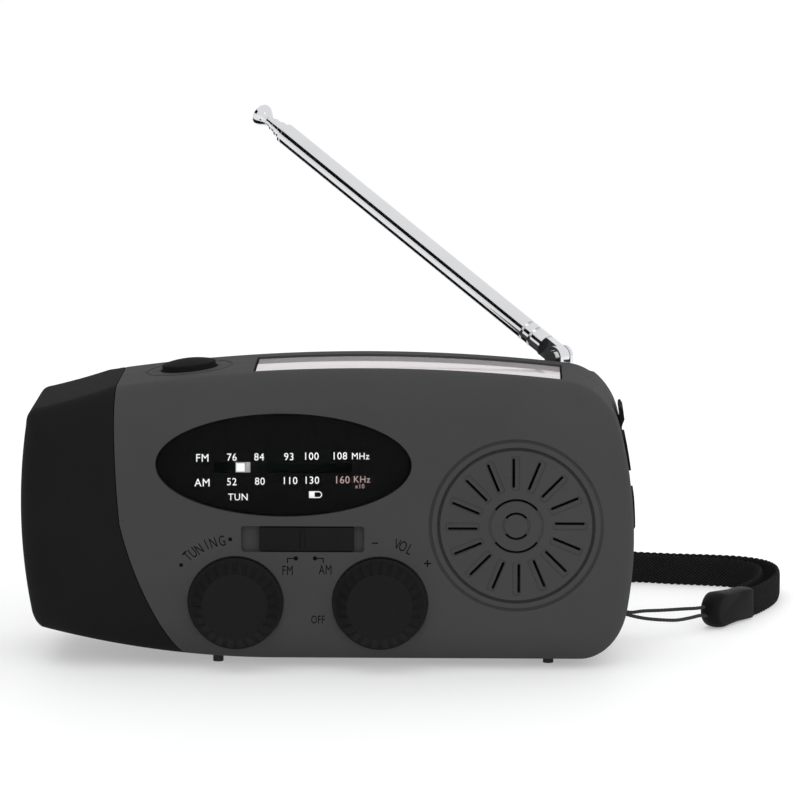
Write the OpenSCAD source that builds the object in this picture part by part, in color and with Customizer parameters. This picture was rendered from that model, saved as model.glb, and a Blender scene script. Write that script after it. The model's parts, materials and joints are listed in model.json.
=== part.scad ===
// Hand-crank emergency radio with a torch head, a solar panel and a telescopic antenna.
// The origin lies on the surface it stands on, under the middle of the body.
// +X is to the right seen from the front, +Y to the back and +Z up. Millimetres.

/* [Body] */
// Width of the body over its bulged ends
body_w = 127.8; // [127:0.1:131]
// Height of the body without its feet
body_h = 61; // [60.6:0.1:62]
// Depth of the body from the front face to the back
body_d = 45; // [44.6:0.1:47]
// Radius of the soft edges round the front and the back
edge_r = 8; // [7:0.1:8.4]
// Radius of the front face's crown, top to bottom
crown_r = 200; // [180:1:400]
// Wall thickness of the shells
wall = 2; // [1.8:0.1:2.1]
// Height of the feet below the body
foot_h = 1.3; // [1:0.1:1.6]

/* [Torch] */
// Radius of the curved seam between the torch head and the body
seam_r = 78; // [77.7:0.1:78.3]
// Radius of the torch lens
lens_r = 14.2; // [12:0.1:14.4]
// Radius of the torch button
button_r = 5.65; // [5:0.05:6]

/* [Front] */
// Half width of the oval dial
dial_a = 26.4; // [25:0.1:27]
// Half height of the oval dial
dial_b = 10.7; // [10:0.1:11]
// Radius of the two knobs at their base
knob_r = 9.6; // [9:0.05:9.9]
// Height of the knobs above the face
knob_h = 4.4; // [3.6:0.1:6]
// Number of grip grooves round each knob
knob_flutes = 24; // [16:1:30]
// Outer radius of the ring round the speaker
speaker_ring_r = 17.9; // [17:0.1:18.2]
// Number of radial slits in the speaker grille
grille_slits = 16; // [12:1:20]
// Length of the band switch slot
switch_slot_w = 25.3; // [24.6:0.1:27]

/* [Top] */
// Length of the solar panel
solar_w = 63.8; // [60:0.1:64]
// Width of the solar panel, front to back
solar_d = 19.2; // [17:0.1:19.4]

/* [Antenna] */
// Length of the closed antenna from its hinge to its tip
antenna_l = 101; // [98:0.5:102]
// Radius of the outer antenna tube
antenna_r = 2.45; // [2.35:0.05:2.5]
// Angle of the antenna above level
antenna_tilt = 27; // [0:1:60]
// Angle that the antenna is swung back from lying along the top
antenna_swing = 42; // [0:1:90]

/* [Crank] */
// Length of the crank arm between its shaft and the handle's hinge
crank_l = 40; // [39:0.5:42]
// Length of the folding handle
handle_l = 25; // [22:0.5:26]

/* [Strap] */
// Width of the wrist strap's webbing
strap_w = 6.6; // [6:0.1:8]
// Thickness of the webbing
strap_t = 1.1; // [0.8:0.1:1.2]
// Diameter of the thin cord at the strap's end
cord_d = 0.8; // [0.7:0.05:0.9]

/* [Hidden] */
$fn = 64;

// Colours
grey_case = [0.27, 0.27, 0.27];
black_case = [0.12, 0.12, 0.12];
steel = [0.75, 0.76, 0.78];
brass = [0.78, 0.62, 0.3];

// Body levels and planes
half_w = body_w / 2;
half_d = body_d / 2;
bottom_z = foot_h;
top_z = foot_h + body_h;
mid_z = 31;
front_y = -half_d;
back_y = half_d;
inner_front_y = front_y + 2.9;
inner_back_y = back_y - 2.2;
// Depth at which the cavity steps in, to follow the soft edges
step_y = half_d - 7;
step_inset = 4.6;

// Centre of the curved seam of the torch head, and the flatter arc that takes over near the top
seam_x = 33.7;
seam_z = 48;
high_seam = [206.5, 54, 250];

// Dial and pointer
dial_x = -8.5;
dial_z = 43.5;
dial_tilt = 3.6;
pointer_z = 42.9;
pointer_x = -17.4;
pointer_back = 2;
pointer_ahead = 20.5;
slot_x0 = -23;
slot_x1 = 5.7;
slot_h = 2.2;

// Tuning drive
tuning_x = -18.5;
knob_z = 14.5;
drive_m = 0.8;
pinion_n = 18;
pinion_r = drive_m * pinion_n / 2;
drive_y0 = -12.4;
drive_y1 = -10.8;
rack_z = knob_z + pinion_r;
shaft_r = 2.4;
rod_r = 0.8;
rod_z = 27.8;
rod_y = -11.6;
running = 0.05;

// Volume control and band switch
volume_x = 11.4;
switch_x = -4.55;
switch_z = 28.1;
switch_h = 5.4;
slider_x = [-13.5, 6];

// Speaker
speaker_x = 39.5;
speaker_z = 31;
speaker_r = 17;
magnet_y = -7.4;

// Main board
board_x0 = -27;
board_x1 = 19;
board_y0 = -6;
board_y1 = -4.4;

// Generator and gears, about axes along Y
crank_x = -18;
crank_z = 31;
gear_m = 0.8;
crank_n = 45;
idler_small_n = 15;
idler_big_n = 36;
rotor_n = 12;
idler_angle = 20;
rotor_angle = -10;
centre_1 = gear_m * (crank_n + idler_small_n) / 2;
centre_2 = gear_m * (idler_big_n + rotor_n) / 2;
idler_x = crank_x + centre_1 * cos(idler_angle);
idler_z = crank_z + centre_1 * sin(idler_angle);
rotor_x = idler_x + centre_2 * cos(rotor_angle);
rotor_z = idler_z + centre_2 * sin(rotor_angle);
gear_1_y = [16.6, 19];
gear_2_y = [13.2, 15.6];
plate_y = [10.6, 12];
can_y = 1;
can_r = 12;
plate_posts = [[-14, 51.8], [20, 51.5], [13, 23.5]];

// Crank arm and handle
arm_y0 = 23.2;
arm_y1 = 26.2;
arm_w = 14;
window_w = 9.4;
handle_x = crank_x + crank_l;
handle_y = 27.4;
handle_r = 4.2;
spindle_r = 1.5;

// Battery
battery_r = 9.1;
battery_x = [-10, 51.4];
battery_yz = [5, 12.8];

// Screw posts that join the two shells, as [x, z]
posts = [[-31, 10.5], [-39, 51], [43.5, 50.3], [57.5, 14]];
post_r = 2.4;
screw_r = 1.3;
head_seat_y = 17.5;
board_posts = [[16, 40], [-24.5, 36]];

// Antenna
antenna_x = 48.5;
antenna_y = 15;
antenna_z = 60.8;
ledge_y = 11.6;
ledge_z = 57.4;
bush_bore = 1.65;
section_r = [antenna_r, 1.85, 1.5, 1.2];
section_bore = [1.9, 1.55, 1.25];
cap_l = 3.9;
stage_l = 2;
tube_end = antenna_l - cap_l - 3 * stage_l + 0.6;

// Front of the torch lens's flange
lens_back = 4.3 - half_w;

// Torch button and solar panel on the curved top
button_x = -29.2;
solar_x = 16.9;
solar_y = -2.4;
solar_deep = 3.8;

// Ports on the right
cover_w = 11;
cover_z0 = 28;
cover_z1 = 49.6;
port_floor_x = 60.2;
usb_z = [37.4, 50.5];
micro_z = [30, 37];

// Strap anchor
pin_x = 58.8;
pin_y = 12;
foot_r = 1.1;
foot_spots = [[-22.8, -11], [46.3, -11], [-22.8, 11], [46.3, 11]];

// Route of the thin cord, from the anchor pin out to the clasp and back
cord_route = [[58.1, 13.2, 6.8], [61.5, 13, 6.2], [64, 13.4, 5.6], [67, 15.4, 5.5], [71, 18.2, 5.1],
    [75.5, 20.6, 4.9], [79, 22.2, 4.8], [82, 24, 5], [84.4, 26.6, 5.2], [85.4, 28.2, 4],
    [84.4, 26.6, 2.6], [82, 23.8, 2.8], [79.4, 21, 3.4], [77, 18.4, 3.4], [74, 16, 3.4],
    [70.5, 13.9, 3.9], [67, 12.1, 4.6], [64, 11.2, 5.4], [61.5, 11, 6.2], [58.1, 10.8, 6.7]];
cord_steps = 3;

// Route of the webbing on the ground, from the clasp round to the clasp again
webbing_route = [[87.6, 34], [91.3, 37], [93.9, 42], [96.2, 48], [97.7, 54.5], [97.9, 61], [95.8, 67.4],
    [91, 71.6], [84, 73.6], [75, 74.9], [66, 76.8], [56, 79.2], [46, 81], [36, 82], [27, 81.2],
    [20.4, 77.8], [18.6, 72.6], [22.6, 68.6], [30, 67.8], [42, 69.4], [54, 71.8], [66, 73.6],
    [75, 71.6], [82, 70.2], [88, 68.4], [92, 65], [94, 60.6], [94.1, 55], [92.9, 49], [91, 43.4],
    [88.8, 38.8], [86.4, 35.4]];
webbing_steps = 4;

// Clasp at the strap's end, as a plate on edge
clasp_at = [81, 22];
clasp_turn = 58;
clasp_l = 17;
clasp_h = 7.8;
clasp_t = 4.6;

// ---------- Outline of the body, seen from the front ----------

// Point on a round corner from a to c whose end tangents meet at b
corner_weight = 0.75;
function corner_pt(a, b, c, t) =
    ((1 - t) * (1 - t) * a + 2 * corner_weight * t * (1 - t) * b + t * t * c)
    / ((1 - t) * (1 - t) + 2 * corner_weight * t * (1 - t) + t * t);
function corner(a, b, c, n = 5) = [for (i = [0:n]) corner_pt(a, b, c, i / n)];

// Points inside a shallow arc from a to b that rises by sag on its right-hand side
function across(a, b) = [b[1] - a[1], a[0] - b[0]] / norm(b - a);
function bow_pt(a, b, sag, t) = a + (b - a) * t + across(a, b) * 4 * sag * t * (1 - t);
function bow(a, b, sag, n) = [for (i = [1:n - 1]) bow_pt(a, b, sag, i / n)];

// Ends of the outline's stretches, before it is drawn in
low_right = [[half_w - 10.8, bottom_z], [half_w - 3.1, bottom_z], [half_w - 1.3, bottom_z + 10]];
high_right = [[half_w - 3, top_z - 12.3], [half_w - 5.3, top_z - 3.3], [half_w - 13.3, top_z - 2.4]];
high_left = [[3.5 - half_w, top_z - 8.4], [1.6 - half_w, top_z - 8.9], [1.65 - half_w, top_z - 11.5]];
low_left = [[2.4 - half_w, bottom_z + 9.9], [3 - half_w, bottom_z + 7], [4.6 - half_w, bottom_z + 6.4]];
seam_top = [-44.6, top_z - 3.8];
flat_end = [-9.7, bottom_z];
right_sag = 2.15;
top_sag = 3.05;
head_sag = -0.25;
left_sag = 1.6;
rise_sag = 1.65;

function moved(points, step) = [for (p = points) p + step];
function outline(d) = let (
        lr = moved(low_right, [-d, d]),
        hr = moved(high_right, [-d, -d]),
        hl = moved(high_left, [d, -d]),
        ll = moved(low_left, [d, d]),
        st = seam_top + [0, -d],
        fe = flat_end + [0, d])
    concat(corner(lr[0], lr[1], lr[2]), bow(lr[2], hr[0], right_sag, 6),
        corner(hr[0], hr[1], hr[2]), bow(hr[2], st, top_sag, 12), [st], bow(st, hl[0], head_sag, 3),
        corner(hl[0], hl[1], hl[2]), bow(hl[2], ll[0], left_sag, 5),
        corner(ll[0], ll[1], ll[2]), bow(ll[2], fe, rise_sag, 7), [fe]);

// Height and slope of the top, and the place of the right side, at rest of the outline
function top_t(x) = (high_right[2][0] - x) / (high_right[2][0] - seam_top[0]);
function top_at(x) = bow_pt(high_right[2], seam_top, top_sag, top_t(x))[1];
function top_slope(x) = atan2(top_at(x + 0.5) - top_at(x - 0.5), 1);
function right_t(z) = (z - low_right[2][1]) / (high_right[0][1] - low_right[2][1]);
function right_at(z) = bow_pt(low_right[2], high_right[0], right_sag, right_t(z))[0];

// ---------- Solids of the outer form ----------

// How far the crowned front lies back from its middle, at height z
function crown(z) = (z - mid_z) * (z - mid_z) / (2 * crown_r);
function ring(y, d, crowned) =
    [for (p = outline(d)) [p[0], y + crowned * crown(p[1]), p[1]]];
function shrunk_ring(scale_by) = [for (p = outline(edge_r))
    let (z = mid_z + (p[1] - mid_z) * scale_by) [p[0] * scale_by, front_y + crown(z), z]];
edge_steps = 5;
function edge_angle(i) = 90 * i / edge_steps;
function edge_ring(i) = let (y = front_y + edge_r * (1 - cos(edge_angle(i))))
    ring(y, edge_r * (1 - sin(edge_angle(i))), -y / half_d);
function back_ring(i) = let (y = back_y - edge_r * (1 - cos(edge_angle(i))))
    ring(y, edge_r * (1 - sin(edge_angle(i))), 0);

front_rings = concat([for (s = [0.3, 0.65]) shrunk_ring(s)], [for (i = [0:edge_steps]) edge_ring(i)]);
back_rings = [for (i = [edge_steps:-1:0]) back_ring(i)];

// Faces between rings of equal length, and the flat face that closes the last ring
function side_faces(n, m) = [for (j = [0:m - 2]) for (i = [0:n - 1]) let (k = (i + 1) % n)
    each [[j * n + i, (j + 1) * n + k, (j + 1) * n + i], [j * n + i, j * n + k, (j + 1) * n + k]]];
function end_face(n, m) = [[for (i = [0:n - 1]) (m - 1) * n + i]];

// A solid through rings of equal length, with a point in front and a flat back
module skin(rings, tip) {
    n = len(rings[0]);
    m = len(rings);
    nose = [for (i = [0:n - 1]) [n * m, (i + 1) % n, i]];
    polyhedron(points = concat([for (r = rings) each r], [tip]),
        faces = concat(side_faces(n, m), nose, end_face(n, m)), convexity = 6);
}

// The same with a flat front
module flat_skin(rings) {
    n = len(rings[0]);
    m = len(rings);
    head = [[for (i = [n - 1:-1:0]) i]];
    polyhedron(points = [for (r = rings) each r],
        faces = concat(side_faces(n, m), head, end_face(n, m)), convexity = 6);
}

front_tip = [0, front_y, mid_z];
module front_form() skin(concat(front_rings, [ring(0, 0, 0)]), front_tip);
module back_form() flat_skin(concat([ring(0, 0, 0)], back_rings));
module whole_form() skin(concat(front_rings, back_rings), front_tip);

// ---------- Small builders ----------

// A flat shape given in X and Z, as a slab from y0 back to y1
module slab(y0, y1) translate([0, y1, 0]) rotate([90, 0, 0]) linear_extrude(y1 - y0) children();
module rod_y(x, z, r, y0, y1) translate([x, y0, z]) rotate([-90, 0, 0]) cylinder(r = r, h = y1 - y0);
module rod_x(y, z, r, x0, x1) translate([x0, y, z]) rotate([0, 90, 0]) cylinder(r = r, h = x1 - x0);
module rod_z(x, y, r, z0, z1) translate([x, y, z0]) cylinder(r = r, h = z1 - z0);
module box(low, high) translate(low) cube(high - low);
// A turned shape whose profile is [radius, y], about an axis along Y
module turned_y(x, z, profile) translate([x, 0, z]) rotate([-90, 0, 0]) rotate_extrude() polygon(profile);
// A turned shape whose profile is [radius, x], about the torch's axis
module turned_x(profile) translate([0, 0, mid_z]) rotate([0, 90, 0]) rotate_extrude() polygon(profile);
// Something drawn at the origin, set on the top with its Z square to it
module on_top(x, y) translate([x, y, top_at(x)]) rotate([0, -top_slope(x), 0]) children();
// The dial's own frame: origin on the face, Y into the body
module in_dial() translate([0, front_y + crown(dial_z), dial_z]) rotate([-dial_tilt, 0, 0])
    translate([0, 0, -dial_z]) children();
module oval(a, b) polygon([for (i = [0:47]) [a * cos(7.5 * i), b * sin(7.5 * i)]]);
module dial_oval(grow) translate([dial_x, dial_z]) oval(dial_a + grow, dial_b + grow);
// A bar from p to q between two round eyes
module link_2d(p, q, r) {
    translate(p) circle(r);
    translate(q) circle(r);
    translate(p) rotate(atan2(q[1] - p[1], q[0] - p[0]))
        translate([0, -0.75 * r]) square([norm(q - p), 1.5 * r]);
}

// Involute gear outline with n teeth of module m, one tooth at angle turn
pressure = 20;
backlash = 0.2;
function roll(rb, r) = r <= rb ? 0 : sqrt(r * r / (rb * rb) - 1) * 180 / PI;
function inv(rb, r) = roll(rb, r) - atan(roll(rb, r) * PI / 180);
function flank(m, n, r) = let (rp = m * n / 2, rb = rp * cos(pressure))
    90 / n - backlash / 2 / rp * 180 / PI + inv(rb, rp) - inv(rb, r);
function tooth(m, n, at) = let (rp = m * n / 2, low = rp - 1.15 * m,
    base = max(rp * cos(pressure), low + 0.05),
    high = rp + 0.8 * m, radii = [low, base, (base + high) / 2, high])
    concat([for (i = [0:3]) radii[i] * [cos(at - flank(m, n, radii[i])), sin(at - flank(m, n, radii[i]))]],
        [for (i = [3:-1:0]) radii[i] * [cos(at + flank(m, n, radii[i])), sin(at + flank(m, n, radii[i]))]]);
module gear_2d(m, n, turn) polygon([for (k = [0:n - 1]) each tooth(m, n, turn + 360 * k / n)]);

// ---------- Cavities and cuts of the housing ----------

module cavity(y0, y1, d) slab(y0, y1) polygon(outline(d));

module solid_zones() {
    // Floor of the solar panel's recess
    box([solar_x - solar_w / 2 - 2, solar_y - solar_d / 2 - 2, 56.4], [solar_x + solar_w / 2 + 2, 9.4, 80]);
    // Ledge behind the top
    box([-80, ledge_y - 2, ledge_z - 2], [80, 40, 80]);
    // Port block on the right, and the strap's anchor
    box([port_floor_x - 2, -cover_w / 2 - 2, cover_z0 - 3], [80, cover_w / 2 + 2, cover_z1 + 4]);
    box([pin_x - 3.6, pin_y - 5, 0], [80, pin_y + 5, 11.5]);
}

module seam_disc(grow = 0) intersection() {
    rod_y(seam_x, seam_z, seam_r + grow, -60, 60);
    rod_y(high_seam[0], high_seam[1], high_seam[2] + grow, -60, 60, $fn = 256);
}

module port_cuts() {
    box([port_floor_x, -cover_w / 2 - 0.3, cover_z0 - 1.25], [80, cover_w / 2 + 0.3, cover_z1 + 0.3]);
    box([40, -2.9, usb_z[0]], [80, 2.9, usb_z[1]]);
    box([50, -1.45, micro_z[0]], [80, 1.45, micro_z[1]]);
}

module top_cuts() {
    on_top(solar_x, solar_y) translate([-solar_w / 2 - 0.2, -solar_d / 2 - 0.2, -solar_deep])
        cube([solar_w + 0.4, solar_d + 0.4, 20]);
    box([-80, ledge_y, ledge_z], [80, 40, 80]);
    on_top(button_x, 0) {
        translate([0, 0, -8]) cylinder(r = button_r + 0.3, h = 20);
        difference() {
            translate([0, 0, -0.3]) cylinder(r = 8.95, h = 10);
            translate([0, 0, -1]) cylinder(r = 8.5, h = 12);
        }
    }
}

module foot_cuts() for (p = foot_spots) rod_z(p[0], p[1], foot_r, -1, 5);

module grille_cuts() {
    y0 = front_y - 2;
    y1 = inner_front_y + 0.5;
    for (i = [0:grille_slits - 1]) slab(y0, y1) translate([speaker_x, speaker_z])
        rotate(360 / grille_slits * i) translate([7.95, 0.27]) square([6.15, 0.56]);
    for (r = [2.65, 5.45]) for (turn = [38, 218]) slab(y0, y1) translate([speaker_x, speaker_z])
        rotate(turn) arc_2d(r - 0.22, r + 0.22, 104);
    // Two shallow rings that frame the grille
    for (r = [speaker_ring_r, 0.907 * speaker_ring_r]) difference() {
        slab(y0, front_y + 3) translate([speaker_x, speaker_z]) difference() { circle(r); circle(r - 0.4); }
        rod_x(front_y + crown_r, mid_z, crown_r - 0.35, 0, 80);
    }
}

module arc_2d(r0, r1, sweep) polygon(concat(
    [for (i = [0:8]) r1 * [cos(sweep * i / 8), sin(sweep * i / 8)]],
    [for (i = [8:-1:0]) r0 * [cos(sweep * i / 8), sin(sweep * i / 8)]]));

module slot_2d(w, h) square([w, h], center = true);

module front_cuts() {
    // Dial, its pointer's way in, the band switch and the knobs' wells
    in_dial() {
        slab(-6, 2.2) dial_oval(0);
        slab(-6, 8) translate([(slot_x0 + slot_x1) / 2, pointer_z])
            slot_2d(slot_x1 - slot_x0 + 1, slot_h + 1);
    }
    slab(front_y - 4, front_y + 1.3) translate([switch_x, switch_z]) slot_2d(switch_slot_w, switch_h);
    slab(front_y - 4, 0) translate([switch_x, switch_z]) slot_2d(8.6, 3.6);
    for (x = [tuning_x, volume_x]) {
        rod_y(x, knob_z, knob_r + 0.3, front_y - 8, front_y + 1.4);
        rod_y(x, knob_z, shaft_r + running, front_y - 8, 0);
    }
    grille_cuts();
}

// ---------- Housing ----------

module front_shell() color(grey_case) difference() {
    union() {
        difference() {
            intersection() { front_form(); seam_disc(); }
            difference() {
                union() {
                    cavity(-step_y, 1, wall);
                    cavity(inner_front_y, -step_y + 0.1, step_inset);
                }
                solid_zones();
                in_dial() slab(0, 3.9) dial_oval(1.8);
            }
        }
        for (p = posts) rod_y(p[0], p[1], post_r, inner_front_y - 0.4, 0);
        for (p = board_posts) rod_y(p[0], p[1], 2, inner_front_y - 0.4, board_y0);
        on_top(button_x, -7.2) for (x = [-4.5, 4.5]) translate([x, 0, -8.6]) cylinder(r = 1.2, h = 7.5);
    }
    front_cuts();
    port_cuts();
    top_cuts();
    foot_cuts();
    for (p = posts) rod_y(p[0], p[1], screw_r, -10.5, 1);
    for (p = board_posts) rod_y(p[0], p[1], 0.8, board_y0 - 5, 0);
}

module rear_shell() color(grey_case) difference() {
    union() {
        difference() {
            intersection() { back_form(); seam_disc(); }
            difference() {
                union() {
                    cavity(-1, step_y, wall);
                    cavity(step_y - 0.1, inner_back_y, step_inset);
                }
                solid_zones();
            }
        }
        for (p = posts) {
            rod_y(p[0], p[1], post_r, 0, inner_back_y + 0.4);
            rod_y(p[0], p[1], 3.6, head_seat_y - 2, inner_back_y + 0.4);
        }
        for (p = plate_posts) rod_y(p[0], p[1], 2, plate_y[1], inner_back_y + 0.4);
        rod_y(idler_x, idler_z, 2.6, gear_1_y[1] + 0.4, inner_back_y + 0.4);
        rod_y(crank_x, crank_z, 6.5, gear_1_y[1] + 0.6, inner_back_y + 0.4);
    }
    port_cuts();
    top_cuts();
    foot_cuts();
    for (p = posts) {
        rod_y(p[0], p[1], screw_r + 0.15, -1, 30);
        rod_y(p[0], p[1], 2.6, head_seat_y, 30);
    }
    for (p = plate_posts) rod_y(p[0], p[1], 0.8, plate_y[1] - 1, plate_y[1] + 5);
    rod_y(idler_x, idler_z, 1.05, gear_1_y[1], inner_back_y + 0.6);
    rod_y(crank_x, crank_z, 4.5, gear_1_y[1], 30);
    rod_z(antenna_x, antenna_y, 2.8, 50, 60);
    // Pocket of the strap's anchor
    box([pin_x - 1.6, pin_y - 2.6, 5.4], [80, pin_y + 2.6, 8.8]);
    rod_z(pin_x, pin_y, 0.8, 4.6, 9.6);
}

module torch_head() color(black_case) difference() {
    union() {
        difference() {
            whole_form();
            seam_disc(0.03);
            difference() {
                union() {
                    cavity(-step_y, step_y, wall + 0.2);
                    cavity(inner_front_y, half_d - 2.9, step_inset);
                }
                box([-80, ledge_y - 2, ledge_z - 2], [80, 40, 80]);
            }
        }
        // Lip that plugs into the two shells
        intersection() {
            difference() {
                cavity(-step_y + 0.2, ledge_y - 2.2, wall + 0.1);
                cavity(-30, 30, wall + 1.3);
                box([-60, -30, 20], [80, 30, 46]);
            }
            difference() { seam_disc(1); seam_disc(-3); }
            box([-80, -30, 0], [-20, 30, 80]);
        }
    }
    top_cuts();
    rod_x(0, mid_z, lens_r + 0.1, -80, -55);
}

// ---------- Torch ----------

module torch_lens() color([0.9, 0.93, 0.95, 0.5]) {
    rod_x(0, mid_z, lens_r, 1.2 - half_w, lens_back);
    rod_x(0, mid_z, lens_r + 0.9, lens_back, lens_back + 0.8);
}

module torch_reflector() color(steel) difference() {
    turned_x([[lens_r - 0.8, lens_back + 0.9], [lens_r + 0.4, lens_back + 0.9], [10.4, -52.3],
        [10.4, -50.5], [9.2, -50.5], [9.2, -51.6], [0, -51.6], [0, -52.8], [8.8, -52.8]]);
    for (a = [90:120:330]) rod_x(5 * cos(a), mid_z + 5 * sin(a), 2.7, -56, -48);
}

module torch_leds() color([0.95, 0.95, 0.85]) for (a = [90:120:330])
    translate([0, 5 * cos(a), 5 * sin(a)]) turned_x([[0, -50.5], [2.4, -50.5], [2.4, -54.4],
        [1.9, -55.8], [1, -56.6], [0, -56.8]]);

module torch_led_board() color([0.1, 0.35, 0.2]) rod_x(0, mid_z, 11, -50.5, -49.3);

module torch_button() color(black_case) on_top(button_x, 0) {
    intersection() {
        translate([0, 0, -2.2]) cylinder(r = button_r, h = 5);
        translate([0, 0, 2 - 20]) sphere(r = 20, $fn = 96);
    }
    translate([0, 0, -3]) cylinder(r = button_r + 0.9, h = 0.8);
    translate([0, 0, -6.6]) cylinder(r = 1.4, h = 3.8);
}

module torch_switch() color([0.2, 0.2, 0.22]) on_top(button_x, 0) difference() {
    union() {
        translate([-3, -3, -8.6]) cube([6, 6, 3.5]);
        translate([-6, -8.4, -9.8]) cube([12, 12.4, 1.2]);
    }
    translate([0, 0, -8]) cylinder(r = 1.45, h = 6);
}

// ---------- Dial ----------

module dial_cover() color([0.05, 0.05, 0.05, 0.6]) in_dial() slab(0.6, 1.4) dial_oval(-0.06);

module dial_plate() color([0.05, 0.05, 0.05]) in_dial() slab(1.4, 2.2) difference() {
    dial_oval(-0.06);
    translate([(slot_x0 + slot_x1) / 2, pointer_z]) slot_2d(slot_x1 - slot_x0, slot_h);
}

module dial_pointer() color("white") {
    // White tip and finger
    in_dial() slab(1.5, 10.4) translate([pointer_x, pointer_z]) slot_2d(1.7, 1.7);
    // Arm, with its bearing on the guide rod
    difference() {
        union() {
            box([pointer_x - 1.5, drive_y0, rack_z + 1], [pointer_x + 1.5, drive_y1, pointer_z + 1.4]);
            box([pointer_x - 2.5, rod_y - 1.7, rod_z - 1.8], [pointer_x + 2.5, rod_y + 1.7, rod_z + 1.8]);
        }
        rod_x(rod_y, rod_z, rod_r + running, pointer_x - 9, pointer_x + 9);
    }
    rack();
}

module rack() {
    pitch = PI * drive_m;
    first = ceil((-pointer_ahead - 2) / pitch);
    last = floor((pointer_back + 2) / pitch);
    half_low = pitch / 4 - backlash / 2 + 0.7 * drive_m * tan(pressure);
    half_high = pitch / 4 - backlash / 2 - 0.7 * drive_m * tan(pressure);
    slab(drive_y0, drive_y1) {
        translate([tuning_x + (first - 0.5) * pitch, rack_z + 1])
            square([(last - first + 2) * pitch, 2]);
        for (k = [first:last]) translate([tuning_x + (k + 0.5) * pitch, rack_z]) polygon([
            [-half_low, 0.7 * drive_m], [-half_high, -0.7 * drive_m],
            [half_high, -0.7 * drive_m], [half_low, 0.7 * drive_m],
            [half_low, 1.2], [-half_low, 1.2]]);
    }
}

module pointer_guide_rail() color(steel) difference() {
    union() {
        rod_x(rod_y, rod_z, rod_r, -25, 9);
        for (x = [-25.4, 7.6]) box([x, -13.2, 26], [x + 2, board_y0, 29.6]);
    }
}

// ---------- Knobs, switch and their electronics ----------

module knob(x) {
    base_y = front_y + 0.9;
    tip_y = base_y - knob_h;
    face_r = 0.72 * knob_r;
    slope = atan2(knob_r - face_r, knob_h - 1.2);
    difference() {
        turned_y(x, knob_z, [[0, base_y], [knob_r, base_y], [knob_r, base_y - 1.2], [face_r, tip_y + 0.3],
            [face_r - 0.5, tip_y], [0, tip_y]]);
        for (i = [0:knob_flutes - 1]) translate([x, 0, knob_z]) rotate([0, 360 / knob_flutes * i, 0])
            translate([knob_r + 0.5, base_y - 1.2, 0]) rotate([90, 0, 0]) rotate([0, -slope, 0])
            cylinder(r = 0.8, h = knob_h + 3, $fn = 24);
    }
}

module tuning_knob() color(black_case) difference() {
    knob(tuning_x);
    rod_y(tuning_x, knob_z, shaft_r, front_y - 2.3, 0);
}

module volume_knob() color(black_case) {
    knob(volume_x);
    rod_y(volume_x, knob_z, shaft_r, front_y + 0.8, -9);
}

module tuning_shaft() color(steel) {
    rod_y(tuning_x, knob_z, shaft_r, front_y - 2.3, board_y1 + 1);
    slab(drive_y0 - 0.4, drive_y1 + 0.4) translate([tuning_x, knob_z]) gear_2d(drive_m, pinion_n, 90);
}

module tuning_capacitor() color([0.85, 0.85, 0.8]) difference() {
    box([tuning_x - 8, board_y1, knob_z - 8], [tuning_x + 8, 3.6, knob_z + 8]);
    rod_y(tuning_x, knob_z, shaft_r + running, -10, board_y1 + 1.4);
}

module volume_control() color([0.3, 0.3, 0.32]) difference() {
    rod_y(volume_x, knob_z, 8, -10.4, board_y0);
    rod_y(volume_x, knob_z, shaft_r + running, -20, -8.6);
}

module band_switch_slider() color(black_case) {
    box([slider_x[0], front_y + 0.05, switch_z - 2.5], [slider_x[1], -21.3, switch_z + 2.5]);
    box([switch_x - 0.35, front_y - 0.3, switch_z - 2.1], [switch_x + 0.35, front_y + 0.2, switch_z + 2.1]);
    box([switch_x - 2, -21.4, switch_z - 1.5], [switch_x + 2, -17, switch_z + 1.5]);
}

module band_switch_body() color([0.7, 0.7, 0.7]) difference() {
    box([switch_x - 8, inner_front_y, switch_z - 2.7], [switch_x + 8, -13.7, switch_z + 2.7]);
    slab(-30, -16.6) translate([switch_x, switch_z]) slot_2d(8.6, 3.6);
}

module main_board() color([0.1, 0.35, 0.2]) difference() {
    box([board_x0, board_y0, 5], [board_x1, board_y1, 48]);
    rod_y(tuning_x, knob_z, 3, -10, 0);
    for (p = board_posts) rod_y(p[0], p[1], 0.9, -10, 0);
}

module ferrite_rod() color([0.2, 0.2, 0.22]) rod_x(0, 45, 4, -30, 10);

module ferrite_coil() color([0.72, 0.4, 0.2]) difference() {
    rod_x(0, 45, 4.3, -22, -8);
    rod_x(0, 45, 4, -30, 0);
}

module battery() color([0.2, 0.45, 0.7])
    rod_x(battery_yz[0], battery_yz[1], battery_r, battery_x[0], battery_x[1]);

// ---------- Speaker ----------

module speaker_frame() color(steel) turned_y(speaker_x, speaker_z, [[speaker_r, inner_front_y],
    [speaker_r, -18.4], [10.2, -12.6], [10.2, -11.8], [3, -11.8], [3, -12.8], [9.4, -12.8], [15.4, -18.2],
    [15.4, inner_front_y]]);

module speaker_cone() color([0.15, 0.15, 0.16]) turned_y(speaker_x, speaker_z, [[15.4, -18.9], [15.4, -18.4],
    [13.6, -18], [4.2, -13.4], [0, -14.6], [0, -15], [4, -13.9], [13.4, -18.5]]);

module speaker_magnet() color([0.25, 0.25, 0.27]) rod_y(speaker_x, speaker_z, 9.5, -11.8, magnet_y);

// ---------- Solar panel ----------

module solar_cover() color([0.85, 0.82, 0.84]) {
    n = 14;
    x0 = solar_x - solar_w / 2;
    slab(solar_y - solar_d / 2, solar_y + solar_d / 2) polygon(concat(
        [for (i = [0:n]) let (x = x0 + solar_w * i / n) [x, top_at(x) - 0.4]],
        [for (i = [n:-1:0]) let (x = x0 + solar_w * i / n) [x, top_at(x) - 1.4]]));
}

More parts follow.
